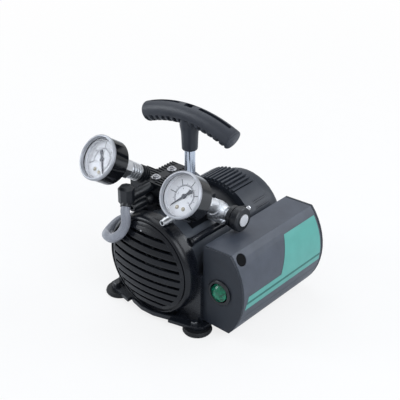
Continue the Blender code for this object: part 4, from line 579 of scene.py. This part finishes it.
def grip_cutter(start, end, depth, width):
    """The hollow of a slot in the top of the grip between two places along it."""
    steps = 12
    half = width / 2
    places = [start + (end - start) * index / steps for index in range(steps + 1)]
    loops = []
    for x in places:
        low = grip_point(x, GRIP_RADIUS - depth)
        high = grip_point(x, GRIP_RADIUS + depth)
        loops.append(
            [
                (low[0], POST_Y - half, low[1]),
                (low[0], POST_Y + half, low[1]),
                (high[0], POST_Y + half, high[1]),
                (high[0], POST_Y - half, high[1]),
            ]
        )
    return bridge(bmesh.new(), loops)


def cut_out(target, cutters):
    """Cuts bmesh tools out of an object and keeps the result as its mesh."""
    for index, cutter in enumerate(cutters):
        bmesh.ops.recalc_face_normals(cutter, faces=cutter.faces)
        mesh = bpy.data.meshes.new("cutter")
        cutter.to_mesh(mesh)
        cutter.free()
        tool = bpy.data.objects.new("cutter", mesh)
        tool.matrix_world = target.matrix_world
        bpy.context.scene.collection.objects.link(tool)
        modifier = target.modifiers.new("cut%d" % index, "BOOLEAN")
        modifier.object = tool
        modifier.operation = "DIFFERENCE"
        modifier.solver = "EXACT"
        cut = evaluated_mesh(target)
        target.modifiers.remove(modifier)
        target.data = cut
        bpy.data.objects.remove(tool)
    target.data.shade_smooth()
    target.data.set_sharp_from_angle(angle=radians(CUT_SHARP_DEG))


def handle():
    """The T grip with its slots and pocket, and its stem."""
    grip = piece("t_grip", grip_bar(), "grip_rubber")
    cutters = [
        grip_cutter(GRIP_SLOT_START, GRIP_SLOT_END, GRIP_SLOT_DEPTH, GRIP_SLOT_WIDTH),
        grip_cutter(-GRIP_SLOT_END, -GRIP_SLOT_START, GRIP_SLOT_DEPTH, GRIP_SLOT_WIDTH),
        grip_cutter(-GRIP_POCKET_HALF, GRIP_POCKET_HALF, GRIP_POCKET_DEPTH, GRIP_POCKET_WIDTH),
    ]
    cut_out(grip, cutters)
    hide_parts("handle_grip")
    stem = piece("t_grip_stem", grip_stem(), "grip_rubber")


# Hose

HOSE_RADIUS = 0.0053
HOSE_STEPS = 6

# The hose's route from the elbow round in a loop to the barrel's spigot, in the motor's frame
HOSE_ROUTE = [
    (-0.0315, -0.0005, 0.0623),
    (-0.0298, -0.0031, 0.0587),
    (-0.0265, -0.0057, 0.0537),
    (-0.0249, -0.0082, 0.0463),
    (-0.0274, -0.0125, 0.0372),
    (-0.0341, -0.0140, 0.0302),
    (-0.0435, -0.0124, 0.0237),
    (-0.0544, -0.0079, 0.0200),
    (-0.0633, -0.0013, 0.0161),
    (-0.0708, 0.0075, 0.0122),
    (-0.0748, 0.0186, 0.0128),
    (-0.0744, 0.0290, 0.0163),
    (-0.0703, 0.0355, 0.0186),
    (-0.0643, 0.0389, 0.0197),
    (-0.0595, 0.0399, 0.0200),
    (-0.0563, 0.0400, 0.0200),
]


def smooth_path(points, steps):
    """Points on a Catmull-Rom curve through the route."""
    ends = [points[0] * 2 - points[1]] + points + [points[-1] * 2 - points[-2]]
    path = []
    for before, first, second, after in zip(ends, ends[1:], ends[2:], ends[3:]):
        for step in range(steps):
            t = step / steps
            bend = 2 * before - 5 * first + 4 * second - after
            twist = 3 * first - before - 3 * second + after
            path.append((2 * first + (second - before) * t + bend * t**2 + twist * t**3) / 2)
    return path + [points[-1]]


def hose():
    """The hose as one smooth tube along its route."""
    curve = bpy.data.curves.new("clear_hose", "CURVE")
    curve.dimensions = "3D"
    curve.bevel_depth = HOSE_RADIUS
    curve.bevel_resolution = 8
    curve.use_fill_caps = True
    path = smooth_path([Vector(point) for point in HOSE_ROUTE], HOSE_STEPS)
    spline = curve.splines.new("POLY")
    spline.points.add(len(path) - 1)
    for point, place in zip(spline.points, path):
        point.co = (*place, 1.0)
    spline.use_smooth = True
    curve.materials.append(MATERIALS["hose"])
    made = bpy.data.objects.new("clear_hose", curve)
    bpy.context.scene.collection.objects.link(made)
    made.location = AXIS
    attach(made, BODY)
    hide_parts("hose")


# Gauge dials

DIAL_SWEEP_DEG = 264.0
DIAL_MAJORS = 5
DIAL_MINORS = 10
MAJOR_OUTER = 0.0192
MINOR_OUTER = 0.0130
HALF_OUTER = 0.0145
INNER_RING = 0.0112
MAJOR_WIDTH = 0.00085
TICK_WIDTH = 0.00048
INK_LIFT = 0.00006
ARC_STEPS = 72
NUMBER_STEP = 2
NUMBER_RADIUS = 0.0086
NUMBER_SIZE = 0.0030
DIAL_RIM_RADIUS = 0.0218
DIAL_RIM_WIDTH = 0.0010
DIAL_SCREW_RADIUS = 0.0023
DIAL_SCREW_EDGE = 0.0003
DIAL_SCREW_SHOULDER = 0.0006
DIAL_SCREW_HEIGHT = 0.0007
DIAL_SCREW_TOP_SHARE = 0.7
DIAL_SCREW_LIFT = 0.00005
LEFT_DIAL_SCREWS = [(-0.0045, -0.0128), (0.0030, -0.0142)]
RIGHT_DIAL_SCREWS = [(-0.0040, -0.0130), (0.0042, -0.0130)]
LEFT_ZERO_DEG = 306.0
RIGHT_ZERO_DEG = 228.0
NECK_RING_RADIUS = 0.0101
NECK_RING_PLACES = (0.0020, 0.0062, 0.0104, 0.0146)
BOSS_FIN_RADIUS = 0.0104
BOSS_FIN_PLACES = (-0.0105, -0.0070, -0.0035)
RING_DEPTH = 0.0019
RING_HALF_ROOT = 0.0011
RING_HALF_LAND = 0.0006


def dial_frame(side):
    """The matrix of a dial's face: X level, Y up the dial, Z along the gauge's axis."""
    joint = JOINTS[side + "_pointer_turn"]
    facing = Vector(joint["axis"]).normalized()
    foot = Vector(joint["pos_m"])
    corners = [vertex.co for vertex in NODES[side + "_gauge_dial"].data.vertices]
    face = max((corner - foot).dot(facing) for corner in corners)
    level = Vector((0, 0, 1)).cross(facing).normalized()
    upward = facing.cross(level)
    matrix = Matrix((level, upward, facing)).transposed().to_4x4()
    matrix.translation = foot + facing * face
    return matrix


def tick(angle, inner, outer, width):
    """A flat mark on the dial between two radii."""
    along = Vector((cos(angle), sin(angle), 0))
    across = Vector((-sin(angle), cos(angle), 0)) * width / 2
    bm = bmesh.new()
    corners = [
        along * inner - across,
        along * outer - across,
        along * outer + across,
        along * inner + across,
    ]
    bm.faces.new([bm.verts.new((corner.x, corner.y, INK_LIFT)) for corner in corners])
    return bm


def ring_mark(radius, width, start, end):
    """A flat arc on the dial."""
    loops = []
    for index in range(ARC_STEPS + 1):
        angle = start + (end - start) * index / ARC_STEPS
        along = Vector((cos(angle), sin(angle), 0))
        lift = Vector((0, 0, INK_LIFT))
        loops.append([along * (radius - width / 2) + lift, along * (radius + width / 2) + lift])
    return bridge(bmesh.new(), loops, closed=False, caps=False)


def number(text, angle):
    """A plain number standing upright on the dial."""
    letters = bpy.data.curves.new("number", "FONT")
    letters.body = text
    letters.size = NUMBER_SIZE
    letters.align_x = "CENTER"
    letters.align_y = "CENTER"
    made = bpy.data.objects.new("number", letters)
    bpy.context.scene.collection.objects.link(made)
    mesh = evaluated_mesh(made)
    bpy.data.objects.remove(made)
    bm = bmesh.new()
    bm.from_mesh(mesh)
    bpy.data.meshes.remove(mesh)
    place = (NUMBER_RADIUS * cos(angle), NUMBER_RADIUS * sin(angle), INK_LIFT)
    bmesh.ops.translate(bm, verts=bm.verts, vec=place)
    return bm


def dial_print(side, zero_deg, way):
    """Scale of a gauge: ticks, an arc and plain numbers round the dial, and the dial's matrix."""
    bm = bmesh.new()
    count = DIAL_MAJORS * DIAL_MINORS
    for index in range(count + 1):
        angle = radians(zero_deg + way * DIAL_SWEEP_DEG * index / count)
        if index % DIAL_MINORS == 0:
            merge(bm, tick(angle, INNER_RING, MAJOR_OUTER, MAJOR_WIDTH))
            merge(bm, number(str(NUMBER_STEP * index // DIAL_MINORS), angle))
        else:
            halfway = index % DIAL_MINORS == DIAL_MINORS // 2
            outer = HALF_OUTER if halfway else MINOR_OUTER
            merge(bm, tick(angle, INNER_RING, outer, TICK_WIDTH))
    start = radians(zero_deg)
    end = start + way * radians(DIAL_SWEEP_DEG)
    merge(bm, ring_mark(INNER_RING, TICK_WIDTH, start, end))
    made = piece(side + "_dial_scale", bm, "ink", place=(0, 0, 0))
    matrix = dial_frame(side)
    made.data.transform(matrix)
    return matrix


def dial_rim(side, matrix):
    """The white ring that lines the case between the dial and the glass."""
    inverse = matrix.inverted()
    glass = min((inverse @ vertex.co).z for vertex in NODES[side + "_gauge_lens"].data.vertices)
    outer = DIAL_RIM_RADIUS + DIAL_RIM_WIDTH
    top = glass - INK_LIFT
    profile = [(DIAL_RIM_RADIUS, INK_LIFT), (outer, INK_LIFT), (outer, top), (DIAL_RIM_RADIUS, top)]
    bm = spun(profile, segments=72, closed=True)
    made = piece(side + "_dial_rim", bm, "dial", place=(0, 0, 0))
    made.data.transform(matrix)


def stem_rings(name, side, places, radius, surface):
    """Turned rings round a gauge's neck, at places along its axis."""
    joint = JOINTS[side + "_pointer_turn"]
    facing = Vector(joint["axis"]).normalized()
    bm = bmesh.new()
    root = radius - RING_DEPTH
    profile = [
        (root, -RING_HALF_ROOT),
        (radius, -RING_HALF_LAND),
        (radius, RING_HALF_LAND),
        (root, RING_HALF_ROOT),
    ]
    for place in places:
        ring = spun(profile, segments=40, closed=True)
        bmesh.ops.translate(ring, verts=ring.verts, vec=(0, 0, place))
        merge(bm, ring)
    turn = facing.to_track_quat("Z", "Y").to_euler()
    made = piece(name, bm, surface, place=Vector(joint["pos_m"]), turn=turn)


def dial_screws(side, matrix, places):
    """The small round-headed screws that hold the dial."""
    bm = bmesh.new()
    profile = [
        (0, 0),
        (DIAL_SCREW_RADIUS, 0),
        (DIAL_SCREW_RADIUS, DIAL_SCREW_EDGE),
        (DIAL_SCREW_RADIUS * DIAL_SCREW_TOP_SHARE, DIAL_SCREW_SHOULDER),
        (0, DIAL_SCREW_HEIGHT),
    ]
    for x, y in places:
        head = spun(profile, segments=20)
        bmesh.ops.translate(head, verts=head.verts, vec=(x, y, DIAL_SCREW_LIFT))
        merge(bm, head)
    made = piece(side + "_dial_screws", bm, "brass", place=(0, 0, 0))
    made.data.transform(matrix)


def dials():
    """The print and trim of both gauges."""
    left = dial_print("left", LEFT_ZERO_DEG, 1)
    right = dial_print("right", RIGHT_ZERO_DEG, -1)
    dial_rim("left", left)
    dial_rim("right", right)
    stem_rings("left_neck_rings", "left", NECK_RING_PLACES, NECK_RING_RADIUS, "nickel")
    stem_rings("left_boss_fins", "left", BOSS_FIN_PLACES, BOSS_FIN_RADIUS, "cast_black")
    dial_screws("left", left, LEFT_DIAL_SCREWS)
    dial_screws("right", right, RIGHT_DIAL_SCREWS)


# Switch lens

ROCKER_RADIUS = 0.0102
ROCKER_THICKNESS = 0.0060
ROCKER_CROWN = 0.0009
ROCKER_DOME_SHARE = 0.48
ROCKER_EDGE_SHARE = 0.94
ROCKER_CURVE = 2.6
ROCKER_STEP = 0.0005
ROCKER_RINGS = 14
ROCKER_TILT_DEG = 7.0


def switch_lens():
    """The rocker's green lens: a low dome with a stepped rim."""
    top = -ROCKER_THICKNESS - ROCKER_CROWN
    shoulder = -ROCKER_THICKNESS * (1 - ROCKER_DOME_SHARE)
    profile = [(0.0, top)]
    for ring in range(1, ROCKER_RINGS + 1):
        share = ring / ROCKER_RINGS
        depth = top + (shoulder - top) * share**ROCKER_CURVE
        profile.append((ROCKER_RADIUS * ROCKER_EDGE_SHARE * share, depth))
    profile += [(ROCKER_RADIUS, shoulder + ROCKER_STEP), (ROCKER_RADIUS, 0.0), (0.0, 0.0)]
    bm = spun(profile, segments=64)
    pivot = Vector(JOINTS["rocker_tilt"]["pos_m"])
    tilt = Euler((radians(-ROCKER_TILT_DEG), 0, 0))
    turn = (tilt.to_matrix() @ ALONG_Y.to_matrix()).to_euler()
    # The lens's colour carries painted highlights and painted shade in its mottle
    made = piece("green_rocker", bm, "green_lens", "rocker_body", pivot, turn)
    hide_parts("rocker")


# Print on the switch box

BOX_FRONT = 0.0193
BOX_LENGTH = 0.1500
BOX_CAP = 0.0030
BOX_BOTTOM_Z = -0.0553
BOX_TOP_Z = 0.0407
BOX_TAPER = 0.0012
BOX_TOP_X = 0.0999
BOX_BULGE_X = 0.1180
PRINT_LIFT = 0.00012
PRINT_MARGIN = 0.0030
PRINT_ROWS = 24
# The stripes from below, and the height and set-back of the front edge at their borders
STRIPES = [
    ("stripe_lower", "green_print"),
    ("stripe_line", "dark_green_print"),
    ("stripe_upper", "green_print"),
]
STRIPE_BORDERS = [(-0.0215, 0.0), (-0.0152, 0.002), (-0.0122, 0.003), (-0.0060, 0.005)]
PANEL_LOW_Z = STRIPE_BORDERS[-1][0]
PANEL_HIGH_Z = 0.0330
PANEL_START_LOW = 0.0880
PANEL_START_HIGH = 0.1060
SEAMS = [("seam_upper", -0.0330), ("seam_lower", -0.0405)]
SEAM_HEIGHT = 0.0005


def box_surface(z, lift):
    """The X of the box's bulging outer face at a height."""
    middle = (BOX_TOP_Z + BOX_BOTTOM_Z) / 2
    half = (BOX_TOP_Z - BOX_BOTTOM_Z) / 2 + BOX_TAPER
    rise = BOX_BULGE_X - BOX_TOP_X
    radius = (half**2 + rise**2) / (2 * rise)
    return BOX_BULGE_X - radius + sqrt((radius + lift) ** 2 - (z - middle) ** 2)


def printed(name, low, high, start_low, start_high, end, surface):
    """A printed field on the box's outer face, with a slanted front edge."""
    loops = []
    for row in range(PRINT_ROWS + 1):
        share = row / PRINT_ROWS
        z = low + (high - low) * share
        x = box_surface(z, PRINT_LIFT)
        start = start_low + (start_high - start_low) * share
        loops.append([(x, start, z), (x, end, z)])
    made = piece(name, bridge(bmesh.new(), loops, closed=False, caps=False), surface)


def box_print():
    """Three stripes, a panel above them and two seams below, all between the box's caps."""
    front = BOX_FRONT + BOX_CAP
    rear = BOX_FRONT + BOX_LENGTH - BOX_CAP
    start = front + PRINT_MARGIN
    end = rear - PRINT_MARGIN
    for (name, surface), low, high in zip(STRIPES, STRIPE_BORDERS, STRIPE_BORDERS[1:]):
        printed(name, low[0], high[0], start + low[1], start + high[1], end, surface)
    panel = (PANEL_LOW_Z, PANEL_HIGH_Z, PANEL_START_LOW, PANEL_START_HIGH)
    printed("green_panel", *panel, end, "green_print")
    for name, z in SEAMS:
        printed(name, z, z + SEAM_HEIGHT, front, front, rear, "seam")


# Fasteners and terminals

BOLT_HEAD_RADIUS = 0.0042
BOLT_HEAD_HEIGHT = 0.0040
BOLT_CHAMFER = 0.0007
BOLT_TOP_SHARE = 0.84
WASHER_RADIUS = 0.0056
WASHER_EDGE = 0.0008
WASHER_HEIGHT = 0.0010
FOOT_BOLT_X = 0.0600
FOOT_BOLT_Y = 0.0085
EAR_TOP_Z = -0.0570
# Places are in the motor's frame, and sizes are a head's radius and height
COVER_SCREW_PLACE = (-0.0046, -0.0048, 0.0448)
COVER_SCREW_WAY = (0, -1, 0.15)
COVER_SCREW_SIZE = (0.0011, 0.0010)
LUG_NUT_PLACE = (0.0478, 0.1158, 0.0402)
LUG_NUT_WAY = (1, -0.3, 0.85)
LUG_NUT_SIZE = (0.0032, 0.0030)
BELL_SCREW_CIRCLE = 0.0340
BELL_SCREW_DEGREES = (45, 135, 225, 315)
BELL_SCREW_SIZE = (0.0034, 0.0026)
CAP_SCREW_SPOTS = ((0.0690, 0.0345), (0.0690, -0.0490), (0.0985, 0.0330), (0.1010, -0.0440))
CAP_SCREW_SIZE = (0.0026, 0.0018)
SCREW_SINK = 0.0001
BACKWARD = (0, 1, 0)
COLLAR_WALL = 0.0012
COLLAR_LENGTH = 0.0045
# Size of the dark strip that stands as painted shade in the gap between the front casting and the box
SHADE_STRIP_WIDTH = 0.0022
SHADE_STRIP_DEPTH = 0.0022
SHADE_STRIP_GAP = 0.0002
SHADE_STRIP_TOP_Z = 0.0038
SMALL_ROUND = 0.0003
PIN_SPOTS = ((-0.0048, -0.0016), (0.0048, -0.0016), (0.0, 0.0026))
PIN_HALF_WIDTH = 0.0010
PIN_HALF_HEIGHT = 0.0020
PIN_ROOT = 0.0130
PIN_TIP = 0.0035


def screw_head(radius, height):
    """A round screw head with a socket, standing on z = 0."""
    profile = [
        (0.0, height * 0.45),
        (radius * 0.5, height * 0.45),
        (radius * 0.5, height * 0.97),
        (radius * 0.58, height),
        (radius * 0.8, height * 0.92),
        (radius * 0.97, height * 0.6),
        (radius, 0.0),
        (0.0, 0.0),
    ]
    return spun(profile, segments=28)


def foot_bolts():
    """Hex bolts on the front ears, each on a washer."""
    bm = bmesh.new()
    top = WASHER_HEIGHT + BOLT_HEAD_HEIGHT
    washer = [(0, 0), (WASHER_RADIUS, 0), (WASHER_RADIUS, WASHER_EDGE), (0, WASHER_HEIGHT)]
    head = [
        (0, WASHER_HEIGHT),
        (BOLT_HEAD_RADIUS, WASHER_HEIGHT),
        (BOLT_HEAD_RADIUS, top - BOLT_CHAMFER),
        (BOLT_HEAD_RADIUS * BOLT_TOP_SHARE, top),
        (0, top),
    ]
    for side in (-1, 1):
        for profile, segments in ((washer, 32), (head, 6)):
            part = spun(profile, segments)
            spot = (side * FOOT_BOLT_X, FOOT_BOLT_Y, EAR_TOP_Z)
            bmesh.ops.translate(part, verts=part.verts, vec=spot)
            merge(bm, part)
    made = piece("foot_bolts", bm, "plate_black")


def screw(name, place, way, size, surface="steel"):
    """A small screw at a place, with its head facing a way."""
    turn = Vector(way).to_track_quat("Z", "Y").to_euler()
    made = piece(name, screw_head(*size), surface, place=AXIS + Vector(place), turn=turn)


def small_screws():
    """Screws of the cover, the rod lug, the rear bell and the box's rear cap."""
    screw("cover_screw", COVER_SCREW_PLACE, COVER_SCREW_WAY, COVER_SCREW_SIZE)
    screw("lug_nut", LUG_NUT_PLACE, LUG_NUT_WAY, LUG_NUT_SIZE, "chrome")
    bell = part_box("rear_bell")[1].y - AXIS.y - SCREW_SINK
    for index, degrees in enumerate(BELL_SCREW_DEGREES):
        x = BELL_SCREW_CIRCLE * cos(radians(degrees))
        z = BELL_SCREW_CIRCLE * sin(radians(degrees))
        screw("bell_screw_%d" % index, (x, bell, z), BACKWARD, BELL_SCREW_SIZE)
    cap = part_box("box_rear_cap")[1].y - AXIS.y - SCREW_SINK
    for index, (x, z) in enumerate(CAP_SCREW_SPOTS):
        screw("cap_screw_%d" % index, (x, cap, z), BACKWARD, CAP_SCREW_SIZE)


def rod_collars():
    """The collars that hold the tie rods' front ends."""
    bm = bmesh.new()
    for name in ("tie_rod_left", "tie_rod_right"):
        low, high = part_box(name)
        middle = (low + high) / 2 - AXIS
        start = low.y - AXIS.y
        outer = (high.x - low.x) / 2 + COLLAR_WALL
        end = start + COLLAR_LENGTH
        profile = [
            (0.0, start),
            (outer, start),
            (outer, end - COLLAR_WALL),
            (outer - COLLAR_WALL / 2, end),
            (0.0, end),
        ]
        collar = spun(profile, segments=32)
        bmesh.ops.rotate(collar, verts=collar.verts, cent=(0, 0, 0), matrix=ALONG_Y.to_matrix())
        bmesh.ops.translate(collar, verts=collar.verts, vec=(middle.x, 0, middle.z))
        merge(bm, collar)
    made = piece("rod_collars", bm, "cast_black")


def shade_strip():
    """A dark rubber strip in the gap between the front casting and the switch box: painted shade
    where the gap shows only shadow.
    """
    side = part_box("switch_box")[0].x - AXIS.x
    low = (side - SHADE_STRIP_WIDTH, BOX_FRONT - SHADE_STRIP_GAP, EAR_TOP_Z)
    high = (side - SHADE_STRIP_GAP, BOX_FRONT + SHADE_STRIP_DEPTH, SHADE_STRIP_TOP_Z)
    made = piece("shade_strip", rounded_block(low, high, SMALL_ROUND), "rubber")


def socket_pins():
    """The three blades in the power socket."""
    low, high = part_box("power_inlet")
    middle = (low + high) / 2 - AXIS
    end = high.y - AXIS.y
    bm = bmesh.new()
    for x, z in PIN_SPOTS:
        across = middle.x + x
        up = middle.z + z
        root = (across - PIN_HALF_WIDTH, end - PIN_ROOT, up - PIN_HALF_HEIGHT)
        tip = (across + PIN_HALF_WIDTH, end - PIN_TIP, up + PIN_HALF_HEIGHT)
        merge(bm, rounded_block(root, tip, SMALL_ROUND))
    made = piece("socket_pins", bm, "brass")


# Studio

# Camera, at the photograph's place
CAMERA_PLACE = (0.6367, -0.7523, 0.6623)
CAMERA_AZIMUTH = 40.55
CAMERA_ELEVATION = 28.6
CAMERA_LENS = 90.0
CAMERA_SENSOR = 36.0

LIGHT_COLOUR = (0.89, 0.94, 1.0)
LIT_POINT = Vector((0.0, 0.0, 0.10))
# Name, place, width and height in metres, and power in watts
LAMPS = [
    ("key", (1.5, -0.5, 1.35), (1.3, 1.2), 18.5),
    ("top", (-0.75, 0.35, 1.45), (1.5, 1.2), 8.5),
    ("left", (-1.4, -1.1, 0.9), (0.8, 0.9), 13.0),
    ("back", (0.95, 1.10, 0.95), (0.9, 0.9), 9.0),
]

FLOOR_SIZE = 4.0
FLOOR_GRAIN = 30.0
FLOOR_DETAIL = 3.0
FLOOR_DARK = (0.86, 0.86, 0.87)
FLOOR_LIGHT = (0.88, 0.88, 0.89)
# The share of plain white that the eye sees on the floor, near the object and far off
WHITE_NEAR = 0.80
WHITE_FAR = 1.0
NEAR_REACH = 0.30
FAR_REACH = 1.30

# The sky's strength below one height and above another
SKY_LOW = -0.1
SKY_HIGH = 0.9
SKY_LOW_STRENGTH = 0.12
SKY_HIGH_STRENGTH = 0.50
# The share of plain white that shiny surfaces mirror
MIRRORED_WHITE = 0.5


def make_camera():
    """The camera, turned to look as the photograph does."""
    camera = bpy.data.cameras.new("camera")
    camera.lens = CAMERA_LENS
    camera.sensor_width = CAMERA_SENSOR
    camera.sensor_fit = "HORIZONTAL"
    made = bpy.data.objects.new("camera", camera)
    bpy.context.scene.collection.objects.link(made)
    azimuth = radians(CAMERA_AZIMUTH)
    elevation = radians(CAMERA_ELEVATION)
    forward = Vector((-sin(azimuth) * cos(elevation), cos(azimuth) * cos(elevation), -sin(elevation)))
    made.location = CAMERA_PLACE
    made.rotation_euler = forward.to_track_quat("-Z", "Y").to_euler()
    bpy.context.scene.camera = made


def area_light(name, place, size, power):
    """A rectangular lamp that faces the object."""
    lamp = bpy.data.lights.new(name, "AREA")
    lamp.shape = "RECTANGLE"
    lamp.size = size[0]
    lamp.size_y = size[1]
    lamp.energy = power
    lamp.color = LIGHT_COLOUR
    made = bpy.data.objects.new(name, lamp)
    bpy.context.scene.collection.objects.link(made)
    made.location = place
    made.rotation_euler = (LIT_POINT - Vector(place)).to_track_quat("-Z", "Y").to_euler()


def calculate(tree, operation, first, second):
    """A math node's result from two sockets."""
    made = tree.nodes.new("ShaderNodeMath")
    made.operation = operation
    tree.links.new(first, made.inputs[0])
    tree.links.new(second, made.inputs[1])
    return made.outputs["Value"]


def mix_into(tree, output, share, first, second):
    """Sends a share of the second shader and the rest of the first to an output node."""
    mixed = tree.nodes.new("ShaderNodeMixShader")
    tree.links.new(share, mixed.inputs["Fac"])
    tree.links.new(first, mixed.inputs[1])
    tree.links.new(second, mixed.inputs[2])
    tree.links.new(mixed.outputs["Shader"], tree.nodes.new(output).inputs["Surface"])


def make_floor():
    """Pale floor: white to the eye far off, with the object's soft shadow kept near it."""
    made = bpy.data.materials.new("floor")
    made.use_nodes = True
    tree = made.node_tree
    tree.nodes.clear()
    grain = noise(tree, FLOOR_GRAIN, FLOOR_DETAIL)
    diffuse = tree.nodes.new("ShaderNodeBsdfDiffuse")
    tree.links.new(blend_colours(tree, grain, FLOOR_DARK, FLOOR_LIGHT), diffuse.inputs["Color"])
    white = node_of(tree, "ShaderNodeEmission", Strength=1.0)
    path = tree.nodes.new("ShaderNodeLightPath")
    place = tree.nodes.new("ShaderNodeTexCoord")
    reach = tree.nodes.new("ShaderNodeVectorMath")
    reach.operation = "LENGTH"
    tree.links.new(place.outputs["Object"], reach.inputs[0])
    fade = remap(tree, reach.outputs["Value"], NEAR_REACH, FAR_REACH, WHITE_NEAR, WHITE_FAR)
    seen = calculate(tree, "MULTIPLY", path.outputs["Is Camera Ray"], fade)
    shaders = (diffuse.outputs["BSDF"], white.outputs["Emission"])
    mix_into(tree, "ShaderNodeOutputMaterial", seen, *shaders)
    bm = bmesh.new()
    bmesh.ops.create_grid(bm, x_segments=4, y_segments=4, size=FLOOR_SIZE)
    mesh = bpy.data.meshes.new("floor")
    bm.to_mesh(mesh)
    bm.free()
    mesh.materials.append(made)
    floor = bpy.data.objects.new("floor", mesh)
    bpy.context.scene.collection.objects.link(floor)


def make_world():
    """A studio sky: bright overhead, greyer at the horizon, and plain white where it is looked at."""
    world = bpy.data.worlds.new("studio")
    bpy.context.scene.world = world
    world.use_nodes = True
    tree = world.node_tree
    tree.nodes.clear()
    place = tree.nodes.new("ShaderNodeTexCoord")
    split = tree.nodes.new("ShaderNodeSeparateXYZ")
    tree.links.new(place.outputs["Generated"], split.inputs["Vector"])
    sky = node_of(tree, "ShaderNodeBackground", Color=(*LIGHT_COLOUR, 1.0))
    strength = remap(tree, split.outputs["Z"], SKY_LOW, SKY_HIGH, SKY_LOW_STRENGTH, SKY_HIGH_STRENGTH)
    tree.links.new(strength, sky.inputs["Strength"])
    white = node_of(tree, "ShaderNodeBackground", Color=(1.0, 1.0, 1.0, 1.0), Strength=1.0)
    path = tree.nodes.new("ShaderNodeLightPath")
    rays = (path.outputs["Is Camera Ray"], path.outputs["Is Transmission Ray"])
    straight = calculate(tree, "MAXIMUM", *rays)
    mirrored = remap(tree, path.outputs["Is Glossy Ray"], 0.0, 1.0, 0.0, MIRRORED_WHITE)
    clear = calculate(tree, "MAXIMUM", straight, mirrored)
    shaders = (sky.outputs["Background"], white.outputs["Background"])
    mix_into(tree, "ShaderNodeOutputWorld", clear, *shaders)


def make_studio():
    """Sky, floor and lamps, with plain colours in the picture."""
    make_world()
    make_floor()
    for lamp in LAMPS:
        area_light(*lamp)
    bpy.context.scene.view_settings.view_transform = "Standard"


def main():
    make_camera()
    hose()
    dress_nodes()
    front_cover()
    handle()
    dials()
    switch_lens()
    box_print()
    foot_bolts()
    small_screws()
    rod_collars()
    shade_strip()
    socket_pins()
    make_studio()


main()
